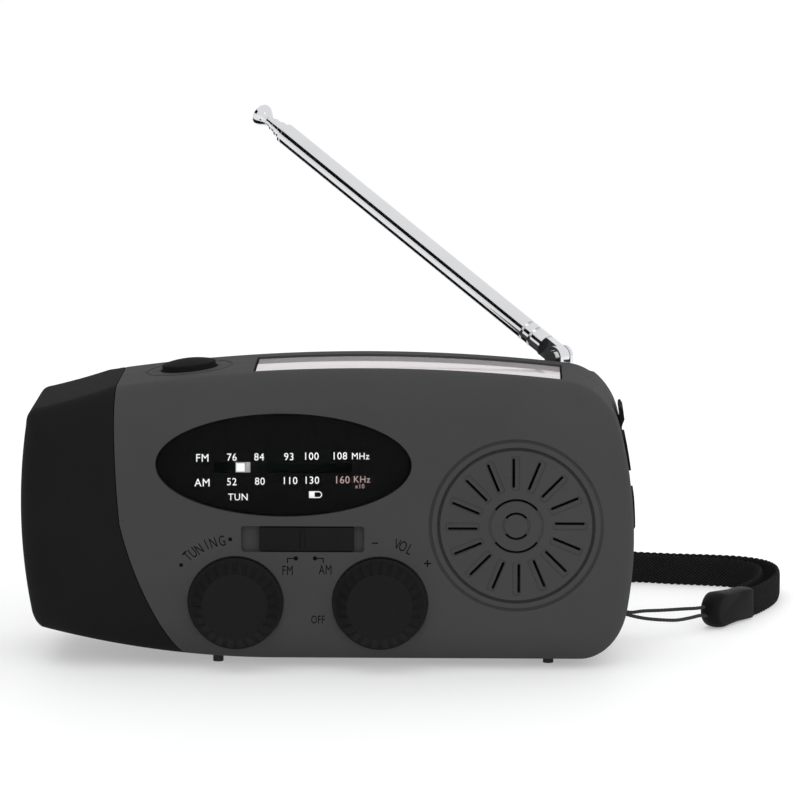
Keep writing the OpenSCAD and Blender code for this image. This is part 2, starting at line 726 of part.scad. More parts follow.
module solar_cell() color([0.1, 0.12, 0.25]) on_top(solar_x, solar_y)
    translate([-solar_w / 2 + 1.5, -solar_d / 2 + 1, -solar_deep]) cube([solar_w - 3, solar_d - 2, 0.8]);

// ---------- Crank, gears and generator ----------

module crank_arm() color(black_case) difference() {
    slab(arm_y0, arm_y1) union() {
        translate([crank_x, crank_z]) circle(7);
        translate([crank_x, crank_z - arm_w / 2]) square([crank_l + 2, arm_w]);
        translate([handle_x + 2, crank_z]) difference() {
            circle(arm_w / 2);
            translate([-20, -10]) square([20, 20]);
        }
    }
    slab(10, 40) translate([crank_x + 12.5, crank_z - window_w / 2]) square([60, window_w]);
    rod_y(crank_x, crank_z, 3, 0, 25.4);
    box([handle_x - 1.2, arm_y0 + 2, 0], [handle_x + 1.2, 40, 80]);
}

module crank_handle_pin() color(steel) {
    // Pin across the fork, between two ears that hold it
    rod_z(handle_x, handle_y, 1, crank_z - 6.6, crank_z + 6.6);
    for (s = [-1, 1]) translate([0, 0, crank_z + s * 5.85]) difference() {
        translate([handle_x - 1.2, arm_y0 + 2, -1.05]) cube([2.4, 3.4, 2.1]);
        translate([handle_x, handle_y, -2]) cylinder(r = 1, h = 4);
    }
}

module crank_handle_spindle() color(steel) difference() {
    union() {
        rod_z(handle_x, handle_y, 2.2, crank_z - 4.4, crank_z + 4.4);
        rod_x(handle_y, crank_z, spindle_r, handle_x - handle_l + 0.5, handle_x);
        rod_x(handle_y, crank_z, 2.6, handle_x - handle_l - 0.4, handle_x - handle_l + 0.6);
    }
    rod_z(handle_x, handle_y, 1 + running, 0, 80);
}

module crank_knob() color(black_case) translate([0, handle_y, crank_z]) rotate([0, 90, 0]) difference() {
    rotate_extrude() polygon([[0, handle_x - handle_l + 0.7], [handle_r - 0.8, handle_x - handle_l + 0.7],
        [handle_r, handle_x - handle_l + 1.8], [handle_r, handle_x - 4.2],
        [handle_r - 0.8, handle_x - 3], [0, handle_x - 3]]);
    translate([0, 0, handle_x - 40]) cylinder(r = spindle_r + running, h = 50);
}

module crank_bush() color(brass) difference() {
    union() {
        rod_y(crank_x, crank_z, 4.5, gear_1_y[1] + 0.6, back_y);
        rod_y(crank_x, crank_z, 5.6, back_y, back_y + 0.4);
    }
    rod_y(crank_x, crank_z, 3 + running, 0, 40);
}

module crank_shaft() color(steel) {
    rod_y(crank_x, crank_z, 3, plate_y[1] + 0.3, 25.4);
    rod_y(crank_x, crank_z, 1.5, plate_y[0], plate_y[1] + 0.3);
}

module crank_gear() color([0.92, 0.92, 0.88]) slab(gear_1_y[0], gear_1_y[1]) difference() {
    translate([crank_x, crank_z]) gear_2d(gear_m, crank_n, idler_angle);
    translate([crank_x, crank_z]) circle(3);
}

module idler_gear() color([0.92, 0.92, 0.88]) {
    slab(gear_1_y[0] - 1.4, gear_1_y[1]) translate([idler_x, idler_z])
        gear_2d(gear_m, idler_small_n, idler_angle + 180 + 180 / idler_small_n);
    slab(gear_2_y[0], gear_2_y[1]) translate([idler_x, idler_z]) gear_2d(gear_m, idler_big_n, rotor_angle);
    rod_y(idler_x, idler_z, 1, plate_y[0], inner_back_y + 0.5);
    rod_y(idler_x, idler_z, 2.5, plate_y[1] + 0.2, gear_2_y[0]);
}

module gearbox_plate() color([0.92, 0.92, 0.88]) {
    crank = [crank_x, crank_z];
    idler = [idler_x, idler_z];
    rotor = [rotor_x, rotor_z];
    slab(plate_y[0], plate_y[1]) difference() {
        union() {
            link_2d(crank, idler, 4);
            link_2d(idler, rotor, 3.5);
            link_2d(crank, plate_posts[0], 3);
            link_2d(rotor, plate_posts[1], 3);
            link_2d(rotor, plate_posts[2], 2.8);
            translate(rotor) circle(can_r - 0.4);
        }
        translate(crank) circle(1.5 + running);
        translate(idler) circle(1 + running);
        translate(rotor) circle(0.9 + running);
        for (p = plate_posts) translate(p) circle(0.9);
    }
}

// Small screws that hold the main board and the gearbox plate
module small_screw(x, z, y, way) translate([x, y, z]) rotate([-90 * way, 0, 0]) {
    cylinder(r = 0.8, h = 5);
    translate([0, 0, -1.2]) cylinder(r = 1.8, h = 1.2);
}

module inner_screws() color(steel) {
    for (p = board_posts) small_screw(p[0], p[1], board_y1, -1);
    for (p = plate_posts) small_screw(p[0], p[1], plate_y[0], 1);
}

module generator_can() color(steel) difference() {
    rod_y(rotor_x, rotor_z, can_r, can_y, plate_y[0]);
    rod_y(rotor_x, rotor_z, can_r - 1, can_y + 1.2, 20);
    rod_y(rotor_x, rotor_z, 0.9 + running, 0, 20);
}

module generator_coil() color([0.72, 0.4, 0.2]) difference() {
    rod_y(rotor_x, rotor_z, can_r - 1, can_y + 1.2, plate_y[0] - 0.8);
    rod_y(rotor_x, rotor_z, 8.6, 0, 20);
}

module generator_rotor() color([0.35, 0.35, 0.38]) {
    rod_y(rotor_x, rotor_z, 8.2, can_y + 1.8, plate_y[0] - 1.2);
    rod_y(rotor_x, rotor_z, 0.9, can_y, gear_2_y[1] + 0.2);
    slab(gear_2_y[0] - 0.2, gear_2_y[1] + 0.2) translate([rotor_x, rotor_z])
        gear_2d(gear_m, rotor_n, rotor_angle + 180 + 180 / rotor_n);
}

// ---------- Antenna ----------

module antenna_bush() color(black_case) difference() {
    union() {
        rod_z(antenna_x, antenna_y, 2.78, ledge_z - 2.4, ledge_z);
        rod_z(antenna_x, antenna_y, 3.3, ledge_z, ledge_z + 0.3);
    }
    rod_z(antenna_x, antenna_y, bush_bore, 0, 80);
}

// Drawn with the antenna along +X and its hinge axis along Y, at the origin
module at_swivel() translate([antenna_x, antenna_y, antenna_z])
    rotate([0, 0, 180 - antenna_swing]) children();
module at_antenna() at_swivel() rotate([0, -antenna_tilt, 0]) children();
module along(r, x0, x1) rod_x(0, 0, r, x0, x1);

module antenna_swivel() color(steel) at_swivel() difference() {
    union() {
        translate([0, 0, ledge_z + 0.4 - antenna_z]) cylinder(r = 3.2, h = 0.4);
        translate([0, 0, ledge_z - 3.2 - antenna_z]) cylinder(r = 1.6, h = 4);
        translate([0, 0, ledge_z - 3.2 - antenna_z]) cylinder(r = 2.4, h = 0.7);
        for (s = [-1, 1]) translate([0, s * 1.55, 0]) rotate([90, 0, 0]) {
            translate([0, 0, -0.45]) cylinder(r = 2.3, h = 0.9);
            translate([-2.3, ledge_z + 0.8 - antenna_z, -0.45]) cube([4.6, antenna_z - ledge_z - 0.8, 0.9]);
        }
    }
    rotate([90, 0, 0]) translate([0, 0, -5]) cylinder(r = 0.8, h = 10);
}

module antenna_hinge_pin() color(steel) at_swivel() rotate([90, 0, 0]) {
    translate([0, 0, -2.2]) cylinder(r = 0.8, h = 4.4);
    for (z = [-2.6, 2]) translate([0, 0, z]) cylinder(r = 1.4, h = 0.6);
}

module antenna_knuckle() color(steel) at_antenna() difference() {
    union() {
        rotate([90, 0, 0]) translate([0, 0, -1]) cylinder(r = 2.2, h = 2);
        translate([0, -1, -2.2]) cube([4.4, 2, 4.4]);
        along(antenna_r, 4.2, 12);
        along(section_bore[0], 11, 15);
    }
    rotate([90, 0, 0]) translate([0, 0, -5]) cylinder(r = 0.8 + running, h = 10);
    for (x = [7, 9.4]) difference() { along(4, x, x + 0.7); along(antenna_r - 0.5, x - 1, x + 2); }
}

module hollow(r, bore, x0, x1) color(steel) at_antenna() difference() {
    along(r, x0, x1);
    along(bore, x0 - 1, x1 + 1);
}

module antenna_tube_1() hollow(section_r[0], section_bore[0], 12, tube_end);
module antenna_tube_2() hollow(section_r[1], section_bore[1], 17, tube_end + stage_l);
module antenna_tube_3() hollow(section_r[2], section_bore[2], 18, tube_end + 2 * stage_l);

module antenna_tip_rod() color(steel) at_antenna() {
    along(section_r[3], 19, antenna_l - cap_l);
    rotate([0, 90, 0]) rotate_extrude() polygon([[0, antenna_l - cap_l], [1.3, antenna_l - cap_l],
        [1.9, antenna_l - 2.9], [2.55, antenna_l - 1.4], [2.55, antenna_l - 0.9], [1.9, antenna_l - 0.3],
        [0.9, antenna_l], [0, antenna_l]]);
}

// ---------- Ports ----------

hinge_x = right_at(cover_z0) - 0.35;
// A strip of the cover that follows the body's right side, let in by depth and raised by rise
module cover_strip(z0, z1, depth, rise, n) polygon(concat(
    [for (i = [0:n]) let (z = z0 + (z1 - z0) * i / n) [right_at(z) + rise, z]],
    [for (i = [n:-1:0]) let (z = z0 + (z1 - z0) * i / n) [max(right_at(z) - depth, port_floor_x + 0.1), z]]));

module port_cover() color(black_case) slab(-cover_w / 2, cover_w / 2) {
    cover_strip(cover_z0, cover_z1, 1.2, 0.05, 8);
    // Two raised pads
    cover_strip(cover_z0 + 0.3, 34.6, 0.5, 0.5, 4);
    cover_strip(39.8, 46.6, 0.5, 0.5, 4);
    translate([hinge_x, cover_z0]) circle(0.85);
    // Tab for a fingernail
    polygon([[right_at(48) - 0.5, 48], [right_at(48) - 0.05, 48], [half_w - 2.3, 49.4], [half_w - 1.85, 50.6],
        [half_w - 2.1, 52.4], [half_w - 2.6, 53.2], [half_w - 3.05, 53], [half_w - 3.1, 52.2],
        [half_w - 2.9, 51], [half_w - 2.75, 49.95], [right_at(49.4) - 0.4, 49.4]]);
}

module usb_a_socket() color(steel) difference() {
    box([46.2, -2.85, usb_z[0] + 0.05], [port_floor_x, 2.85, usb_z[1] - 0.05]);
    box([49, -2.45, usb_z[0] + 0.45], [70, 0.1, usb_z[1] - 0.45]);
    box([49, 1.9, usb_z[0] + 0.45], [70, 2.45, usb_z[1] - 0.45]);
}

module micro_usb_socket() color(steel) difference() {
    box([54.6, -1.4, micro_z[0] + 0.05], [port_floor_x, 1.4, micro_z[1] - 0.05]);
    box([56, -1.1, micro_z[0] + 0.4], [70, 0.3, micro_z[1] - 0.4]);
}

module usb_board() color([0.1, 0.35, 0.2]) difference() {
    box([46.5, 1.4, 28.5], [port_floor_x - 2.1, 3, usb_z[0]]);
    box([40, -5, 0], [46.4, 5, 80]);
}

// ---------- Fasteners and feet ----------

module housing_screws() color(steel) for (p = posts) difference() {
    union() {
        rod_y(p[0], p[1], screw_r, -10, head_seat_y + 0.5);
        rod_y(p[0], p[1], 2.35, head_seat_y, head_seat_y + 1.7);
    }
    for (a = [0, 90]) translate([p[0], head_seat_y + 0.9, p[1]]) rotate([0, a, 0])
        translate([-1.5, 0, -0.25]) cube([3, 2, 0.5]);
}

module feet() color(black_case) for (p = foot_spots) {
    rod_z(p[0], p[1], foot_r, 0, 3.4);
}

// ---------- Wrist strap ----------

module strap_pin() color(steel) rod_z(pin_x, pin_y, 0.8, 4.6, 9.6);

// Catmull-Rom point between b and c, with a before and d after
function spline_pt(a, b, c, d, t) = 0.5 * (2 * b + (c - a) * t + (2 * a - 5 * b + 4 * c - d) * t * t
    + (3 * b - a - 3 * c + d) * t * t * t);
function clamp_at(route, i) = route[max(0, min(len(route) - 1, i))];
function smooth(route, steps) = concat([for (i = [0:len(route) - 2]) for (s = [0:steps - 1])
    spline_pt(clamp_at(route, i - 1), route[i], route[i + 1], clamp_at(route, i + 2), s / steps)],
    [route[len(route) - 1]]);
function unit(v) = v / norm(v);
function heading(path, i) = unit(path[min(len(path) - 1, i + 1)] - path[max(0, i - 1)]);

module strap_cord() color(black_case) {
    sides = 8;
    path = smooth(cord_route, cord_steps);
    rings = [for (i = [0:len(path) - 1]) let (
            way = heading(path, i),
            side = unit(cross(way, [0.4, -0.9, 0.1])),
            up = cross(way, side))
        [for (k = [0:sides - 1]) path[i] + cord_d / 2 * (cos(-45 * k) * side + sin(-45 * k) * up)]];
    flat_skin(rings);
}

module strap_clasp() color(black_case) translate([clasp_at[0], clasp_at[1], 0]) rotate([0, 0, clasp_turn])
    slab(-clasp_t / 2, clasp_t / 2) {
        translate([clasp_h / 2, clasp_h / 2]) circle(clasp_h / 2);
        polygon([[clasp_h / 2, 0], [clasp_l, 0], [clasp_l, 0.86 * clasp_h], [clasp_h / 2, clasp_h]]);
    }

module strap_webbing() color(black_case) {
    path = smooth(webbing_route, webbing_steps);
    n = len(path) - 1;
    linear_extrude(strap_w) polygon(concat(
        [for (i = [0:n]) let (h = heading(path, i)) path[i] + strap_t / 2 * [h[1], -h[0]]],
        [for (i = [n:-1:0]) let (h = heading(path, i)) path[i] - strap_t / 2 * [h[1], -h[0]]]));
}

front_shell();
rear_shell();
torch_head();
torch_lens();
torch_reflector();
torch_leds();
torch_led_board();
torch_button();
torch_switch();
dial_cover();
dial_plate();
dial_pointer();
pointer_guide_rail();
tuning_knob();
tuning_shaft();
tuning_capacitor();
volume_knob();
volume_control();
band_switch_slider();
band_switch_body();
speaker_frame();
speaker_cone();
speaker_magnet();
main_board();
ferrite_rod();
ferrite_coil();
battery();
solar_cover();
solar_cell();
crank_arm();
crank_shaft();
crank_bush();
crank_gear();
crank_handle_pin();
crank_handle_spindle();
crank_knob();
idler_gear();
gearbox_plate();
inner_screws();
generator_can();
generator_coil();
generator_rotor();
antenna_bush();
antenna_swivel();
antenna_hinge_pin();
antenna_knuckle();
antenna_tube_1();
antenna_tube_2();
antenna_tube_3();
antenna_tip_rod();
port_cover();
usb_a_socket();
micro_usb_socket();
usb_board();
housing_screws();
feet();
strap_pin();
strap_cord();
strap_clasp();
strap_webbing();
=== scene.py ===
"""Looks of the emergency radio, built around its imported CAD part. Metres, in the part's own frame."""
import json
import math

import bmesh
import bpy
import numpy as np
from mathutils import Matrix, Vector


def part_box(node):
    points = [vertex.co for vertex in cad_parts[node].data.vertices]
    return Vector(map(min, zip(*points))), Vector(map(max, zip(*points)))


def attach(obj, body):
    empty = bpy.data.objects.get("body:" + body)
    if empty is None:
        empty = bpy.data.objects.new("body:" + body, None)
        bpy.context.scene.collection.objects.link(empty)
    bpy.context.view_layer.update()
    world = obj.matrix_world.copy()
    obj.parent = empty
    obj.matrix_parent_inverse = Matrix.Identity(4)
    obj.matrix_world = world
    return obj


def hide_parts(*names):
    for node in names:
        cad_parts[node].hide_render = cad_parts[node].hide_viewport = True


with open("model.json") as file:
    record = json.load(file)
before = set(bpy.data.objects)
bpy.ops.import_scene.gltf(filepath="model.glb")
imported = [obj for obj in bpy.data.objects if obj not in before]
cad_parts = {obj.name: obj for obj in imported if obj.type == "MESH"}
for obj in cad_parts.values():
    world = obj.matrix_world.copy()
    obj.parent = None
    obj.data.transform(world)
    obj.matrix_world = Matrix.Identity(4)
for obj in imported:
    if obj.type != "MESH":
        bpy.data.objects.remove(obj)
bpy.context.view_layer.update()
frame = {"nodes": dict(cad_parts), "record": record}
record = frame["record"]
MM = 0.001
JOINTS = {j["name"]: j for j in record["behaviour"]["joints"]}


def centre(node):
    lo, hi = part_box(node)
    return (lo + hi) / 2 / MM


# ---------------------------------------------------------------- camera

cam_data = bpy.data.cameras.new("camera")
cam = bpy.data.objects.new("camera", cam_data)
bpy.context.scene.collection.objects.link(cam)
cam_data.sensor_width = 36
cam_data.lens = 214.5
cam_data.clip_start = 0.05
cam.location = (0.03745, -0.9877, 0.2137)
cam.rotation_mode = "QUATERNION"
cam.rotation_quaternion = (Vector((0.01555, -0.0225, 0.0573)) - cam.location).to_track_quat("-Z", "Y")
bpy.context.scene.camera = cam

# ---------------------------------------------------------------- small mesh tools


def add_mesh(name, verts, faces, smooth=True):
    """An object from vertices in millimetres."""
    mesh = bpy.data.meshes.new(name)
    mesh.from_pydata([tuple(float(c) * MM for c in v) for v in verts], [], faces)
    mesh.validate()
    obj = bpy.data.objects.new(name, mesh)
    bpy.context.scene.collection.objects.link(obj)
    bm = bmesh.new()
    bm.from_mesh(mesh)
    bmesh.ops.recalc_face_normals(bm, faces=bm.faces)
    bm.to_mesh(mesh)
    bm.free()
    if smooth:
        mesh.shade_smooth()
    return obj


def sharpen(obj, degrees=32):
    """Smooth shading, with the edges sharper than this kept crisp."""
    mesh = obj.data
    bm = bmesh.new()
    bm.from_mesh(mesh)
    limit = math.radians(degrees)
    for e in bm.edges:
        e.smooth = not (len(e.link_faces) == 2 and e.calc_face_angle(0) > limit)
    for f in bm.faces:
        f.smooth = True
    bm.to_mesh(mesh)
    bm.free()


def grid_faces(rings, n, closed_ring=True):
    faces = []
    for j in range(rings - 1):
        for i in range(n if closed_ring else n - 1):
            k = (i + 1) % n
            faces.append((j * n + i, j * n + k, (j + 1) * n + k, (j + 1) * n + i))
    return faces


def loft(name, rings, cap=True):
    """A skin over rings with equal numbers of points, closed with flat caps."""
    n = len(rings[0])
    verts = [p for r in rings for p in r]
    faces = grid_faces(len(rings), n)
    if cap:
        faces.append(tuple(range(n - 1, -1, -1)))
        faces.append(tuple((len(rings) - 1) * n + i for i in range(n)))
    return add_mesh(name, verts, faces)


def frame_along(axis):
    """Two unit vectors square to axis."""
    axis = Vector(axis).normalized()
    side = axis.cross(Vector((0, 0, 1)))
    if side.length < 0.1:
        side = axis.cross(Vector((0, 1, 0)))
    side.normalize()
    return side, side.cross(axis).normalized()


def lathe(name, profile, origin, axis, n=96, wobble=None):
    """Turns (radius, distance along axis) points about axis. A radius of 0 closes the end."""
    axis = Vector(axis).normalized()
    side, up = frame_along(axis)
    origin = Vector(origin)
    verts, faces, rows = [], [], []
    for j, (r, h) in enumerate(profile):
        if r <= 1e-6:
            verts.append(origin + axis * h)
            rows.append([len(verts) - 1] * n)
            continue
        row = []
        for i in range(n):
            a = 2 * math.pi * i / n
            rr = r if wobble is None else wobble(r, h, a, j)
            verts.append(origin + axis * h + (side * math.cos(a) + up * math.sin(a)) * rr)
            row.append(len(verts) - 1)
        rows.append(row)
    for a, b in zip(rows, rows[1:]):
        for i in range(n):
            k = (i + 1) % n
            ids = [a[i], a[k], b[k], b[i]]
            face = [v for t, v in enumerate(ids) if v not in ids[:t]]
            if len(face) > 2:
                faces.append(tuple(face))
    for row in (rows[0], rows[-1]):
        if len(set(row)) > 1 and wobble is None and profile[0] != profile[-1]:
            faces.append(tuple(row))
    return add_mesh(name, verts, faces)


def join(name, objs):
    """One object from several. The first one's name is replaced."""
    bm = bmesh.new()
    for o in objs:
        bm.from_mesh(o.data)
    mesh = bpy.data.meshes.new(name)
    bm.to_mesh(mesh)
    bm.free()
    for o in objs:
        bpy.data.objects.remove(o)
    out = bpy.data.objects.new(name, mesh)
    bpy.context.scene.collection.objects.link(out)
    return out


def cut(obj, tools, how="DIFFERENCE"):
    """Cuts each tool out of obj, or keeps what obj shares with the one tool given."""
    group = bpy.data.collections.new("tools")
    for t in tools:
        group.objects.link(t)
    mod = obj.modifiers.new("cut", "BOOLEAN")
    mod.operation = how
    mod.solver = "EXACT"
    if len(tools) == 1:
        mod.object = tools[0]
    else:
        mod.operand_type = "COLLECTION"
        mod.collection = group
    dg = bpy.context.evaluated_depsgraph_get()
    mesh = bpy.data.meshes.new_from_object(obj.evaluated_get(dg))
    obj.modifiers.clear()
    obj.data = mesh
    for t in tools:
        bpy.data.objects.remove(t)
    bpy.data.collections.remove(group)
    return obj


def prism(name, points, y0, y1, flare=0.0, lip=0.35, place=None):
    """A slab of (x, z) points from y0 (outside) to y1 (inside). flare widens it towards the face at y = 0."""
    pts = np.array(points, float)
    mid = pts.mean(0)
    if flare:
        out = (pts - mid) / np.linalg.norm(pts - mid, axis=1)[:, None]
        curve = [(-0.05 + lip * t, flare * (1 - math.sin(math.pi / 2 * t)))
            for t in (0, 0.25, 0.5, 0.75, 1)]
        stops = [(y0, flare)] + curve + [(y1, 0)]
        rings = [[(p[0] + o[0] * g, y, p[1] + o[1] * g) for p, o in zip(pts, out)] for y, g in stops]
    else:
        rings = [[(p[0], y, p[1]) for p in pts] for y in (y0, y1)]
    if place is not None:
        rings = [[place(Vector(p)) for p in r] for r in rings]
    return loft(name, rings)


def tube_y(name, x, z, r, y0, y1, n=96):
    return lathe(name, [(0, y0), (r, y0), (r, y1), (0, y1)], (x, 0, z), (0, 1, 0), n)


def box_mesh(name, lo, hi):
    x0, y0, z0 = lo
    x1, y1, z1 = hi
    v = [(x, y, z) for z in (z0, z1) for x, y in ((x0, y0), (x1, y0), (x1, y1), (x0, y1))]
    f = [(0, 3, 2, 1), (4, 5, 6, 7), (0, 1, 5, 4), (1, 2, 6, 5), (2, 3, 7, 6), (3, 0, 4, 7)]
    return add_mesh(name, v, f, smooth=False)


def rounded(points_box, r, n=6):
    """Corner points of a rounded rectangle (x0, z0, x1, z1), counter-clockwise."""
    x0, z0, x1, z1 = points_box
    out = []
    for cx, cz, a0 in ((x1 - r, z0 + r, -90), (x1 - r, z1 - r, 0), (x0 + r, z1 - r, 90),
            (x0 + r, z0 + r, 180)):
        for i in range(n + 1):
            a = math.radians(a0 + 90 * i / n)
            out.append((cx + r * math.cos(a), cz + r * math.sin(a)))
    return out


# ---------------------------------------------------------------- materials


def new_material(name):
    mat = bpy.data.materials.new(name)
    mat.use_nodes = True
    nodes = mat.node_tree.nodes
    return mat, mat.node_tree, nodes["Principled BSDF"]


def noise(tree, scale, detail=3.0, rough=0.6, coords="Object"):
    tc = tree.nodes.new("ShaderNodeTexCoord")
    n = tree.nodes.new("ShaderNodeTexNoise")
    n.inputs["Scale"].default_value = scale
    n.inputs["Detail"].default_value = detail
    n.inputs["Roughness"].default_value = rough
    tree.links.new(tc.outputs[coords], n.inputs["Vector"])
    return n


def ramp_between(tree, source, low, high, start=0.35, end=0.65):
    m = tree.nodes.new("ShaderNodeMapRange")
    m.inputs["From Min"].default_value = start
    m.inputs["From Max"].default_value = end
    m.inputs["To Min"].default_value = low
    m.inputs["To Max"].default_value = high
    tree.links.new(source, m.inputs["Value"])
    return m.outputs["Result"]


def mix_colours(tree, source, a, b, start=0.35, end=0.65):
    ramp = tree.nodes.new("ShaderNodeValToRGB")
    ramp.color_ramp.elements[0].position = start
    ramp.color_ramp.elements[1].position = end
    ramp.color_ramp.elements[0].color = (*a, 1)
    ramp.color_ramp.elements[1].color = (*b, 1)
    tree.links.new(source, ramp.inputs["Fac"])
    return ramp.outputs["Color"]


def surface(name, colour, rough, grain, bump, spread=0.12, rough_spread=0.06, metallic=0.0,
            specular=0.5, detail=4.0, dirt=35, painted_glow=0.0):
    """A plastic or metal with fine grain (per metre), slight tone changes and a bump. A glow, if given, is an
    emission: painted light on a part that is no lamp.
    """
    mat, tree, shader = new_material(name)
    fine = noise(tree, grain, detail)
    wide = noise(tree, dirt, 3.0)
    a = tuple(c * (1 - spread) for c in colour)
    b = tuple(min(1, c * (1 + spread)) for c in colour)
    tree.links.new(mix_colours(tree, wide.outputs["Fac"], a, b), shader.inputs["Base Color"])
    rough_mix = ramp_between(tree, fine.outputs["Fac"], rough - rough_spread, rough + rough_spread)
    tree.links.new(rough_mix, shader.inputs["Roughness"])
    shader.inputs["Metallic"].default_value = metallic
    shader.inputs["Specular IOR Level"].default_value = specular
    # An emission here is painted light: the part glows though it is no lamp.
    if painted_glow:
        shader.inputs["Emission Color"].default_value = (*colour, 1)
        shader.inputs["Emission Strength"].default_value = painted_glow
    if bump:
        node = tree.nodes.new("ShaderNodeBump")
        node.inputs["Strength"].default_value = 1.0
        node.inputs["Distance"].default_value = bump
        tree.links.new(fine.outputs["Fac"], node.inputs["Height"])
        tree.links.new(node.outputs["Normal"], shader.inputs["Normal"])
    return mat


GREY = (0.05, 0.05, 0.0505)
M = {
    "case_grey": surface("case_grey", GREY, 0.7, 2600, 0.00006, spread=0.04, specular=0.04),
    # Painted shade: the near-black colour of the moulded letters and marks on the front face, which are the
    # case's own plastic.
    "painted_shade_grey": surface("painted_shade_grey", (0.004, 0.004, 0.0042), 0.7, 2600, 0.00003, specular=0.02),
    "case_black": surface("case_black", (0.0105, 0.0105, 0.0108), 0.7, 2600, 0.00006, spread=0.06,
    specular=0.02),
    "knob_black": surface("knob_black", (0.0095, 0.0095, 0.0098), 0.6, 2600, 0.00004, spread=0.06,
    specular=0.05),
    "clasp_black": surface("clasp_black", (0.007, 0.007, 0.0072), 0.5, 2600, 0.00003, spread=0.06,
    specular=0.05),
    "black_plastic": surface("black_plastic", (0.008, 0.008, 0.0082), 0.5, 3000, 0.00003, specular=0.06),
    "led_board": surface("circuit_board", (0.006, 0.026, 0.015), 0.35, 1500, 0.00003, spread=0.3, dirt=400),
    "component_grey": surface("component_grey", (0.2, 0.2, 0.21), 0.5, 1800, 0.00003),
    "steel": surface("steel", (0.55, 0.55, 0.57), 0.28, 1500, 0.00001, metallic=1.0, spread=0.05),
    "brass": surface("brass", (0.68, 0.5, 0.22), 0.3, 1500, 0.00001, metallic=1.0, spread=0.05),
    "copper": surface("copper", (0.6, 0.25, 0.12), 0.35, 2500, 0.00003, metallic=1.0, spread=0.2, dirt=900),
    "chrome": surface("chrome", (0.76, 0.76, 0.77), 0.1, 900, 0.0, metallic=1.0, spread=0.03,
    rough_spread=0.03),
    "reflector_chrome": surface("reflector_chrome", (0.8, 0.8, 0.8), 0.14, 700, 0.00001, metallic=1.0,
                                spread=0.03, rough_spread=0.04),
    "gear_plastic": surface("gear_plastic", (0.75, 0.75, 0.7), 0.45, 1400, 0.00002),
    # Painted light: the white pointer glows a little so that it reads brighter than its lighting makes it.
    "white_plastic": surface("white_plastic", (0.88, 0.88, 0.87), 0.45, 1500, 0.00001, spread=0.03,
    painted_glow=0.3),
    "cone_paper": surface("cone_paper", (0.03, 0.03, 0.032), 0.8, 1800, 0.00008, spread=0.3, dirt=500),
    "magnet": surface("magnet", (0.06, 0.06, 0.065), 0.45, 1200, 0.00004, metallic=0.4),
    "ferrite": surface("ferrite", (0.04, 0.04, 0.045), 0.6, 1600, 0.00006),
    "battery_wrap": surface("battery_wrap", (0.05, 0.16, 0.4), 0.3, 900, 0.00001),
    "foot_rubber": surface("foot_rubber", (0.012, 0.012, 0.012), 0.75, 2200, 0.00005),
    "led_resin": surface("led_resin", (0.9, 0.88, 0.62), 0.2, 800, 0.0, spread=0.08),
    "dial_print": surface("dial_print", (0.0045, 0.0045, 0.0048), 0.5, 1800, 0.0, spread=0.1,
    specular=0.02),
    # Painted light: the white print glows a little so that it reads brighter than its lighting makes it.
    "print_white": surface("print_white", (0.9, 0.9, 0.89), 0.5, 3000, 0.0, spread=0.02, painted_glow=0.35),
    "print_red": surface("print_red", (0.6, 0.42, 0.4), 0.5, 3000, 0.0, spread=0.05),
    "cord_black": surface("cord_black", (0.012, 0.012, 0.012), 0.75, 6000, 0.00005, spread=0.25, dirt=1500),
    "solar_silicon": surface("solar_silicon", (0.012, 0.016, 0.045), 0.25, 700, 0.00001, spread=0.3,
    dirt=300),
}


def clear_material(name, colour, alpha, rough, specular=0.6):
    mat, tree, shader = new_material(name)
    fine = noise(tree, 300, 2.0)
    tint = mix_colours(tree, fine.outputs["Fac"], tuple(c * 0.97 for c in colour), colour)
    tree.links.new(tint, shader.inputs["Base Color"])
    rough_mix = ramp_between(tree, fine.outputs["Fac"], rough * 0.8, rough * 1.2)
    tree.links.new(rough_mix, shader.inputs["Roughness"])
    shader.inputs["Alpha"].default_value = alpha
    shader.inputs["Specular IOR Level"].default_value = specular
    return mat


M["dial_gloss"] = clear_material("dial_gloss", (0.006, 0.006, 0.006), 0.06, 0.03, 0.06)
M["clear_plastic"] = clear_material("clear_plastic", (0.85, 0.88, 0.9), 0.25, 0.05)
# Painted reflection: the clear solar cover gets a pale, mostly opaque colour that stands in for the bright
# surroundings it mirrors.
M["solar_clear"] = clear_material("solar_clear", (0.74, 0.69, 0.7), 0.82, 0.04)


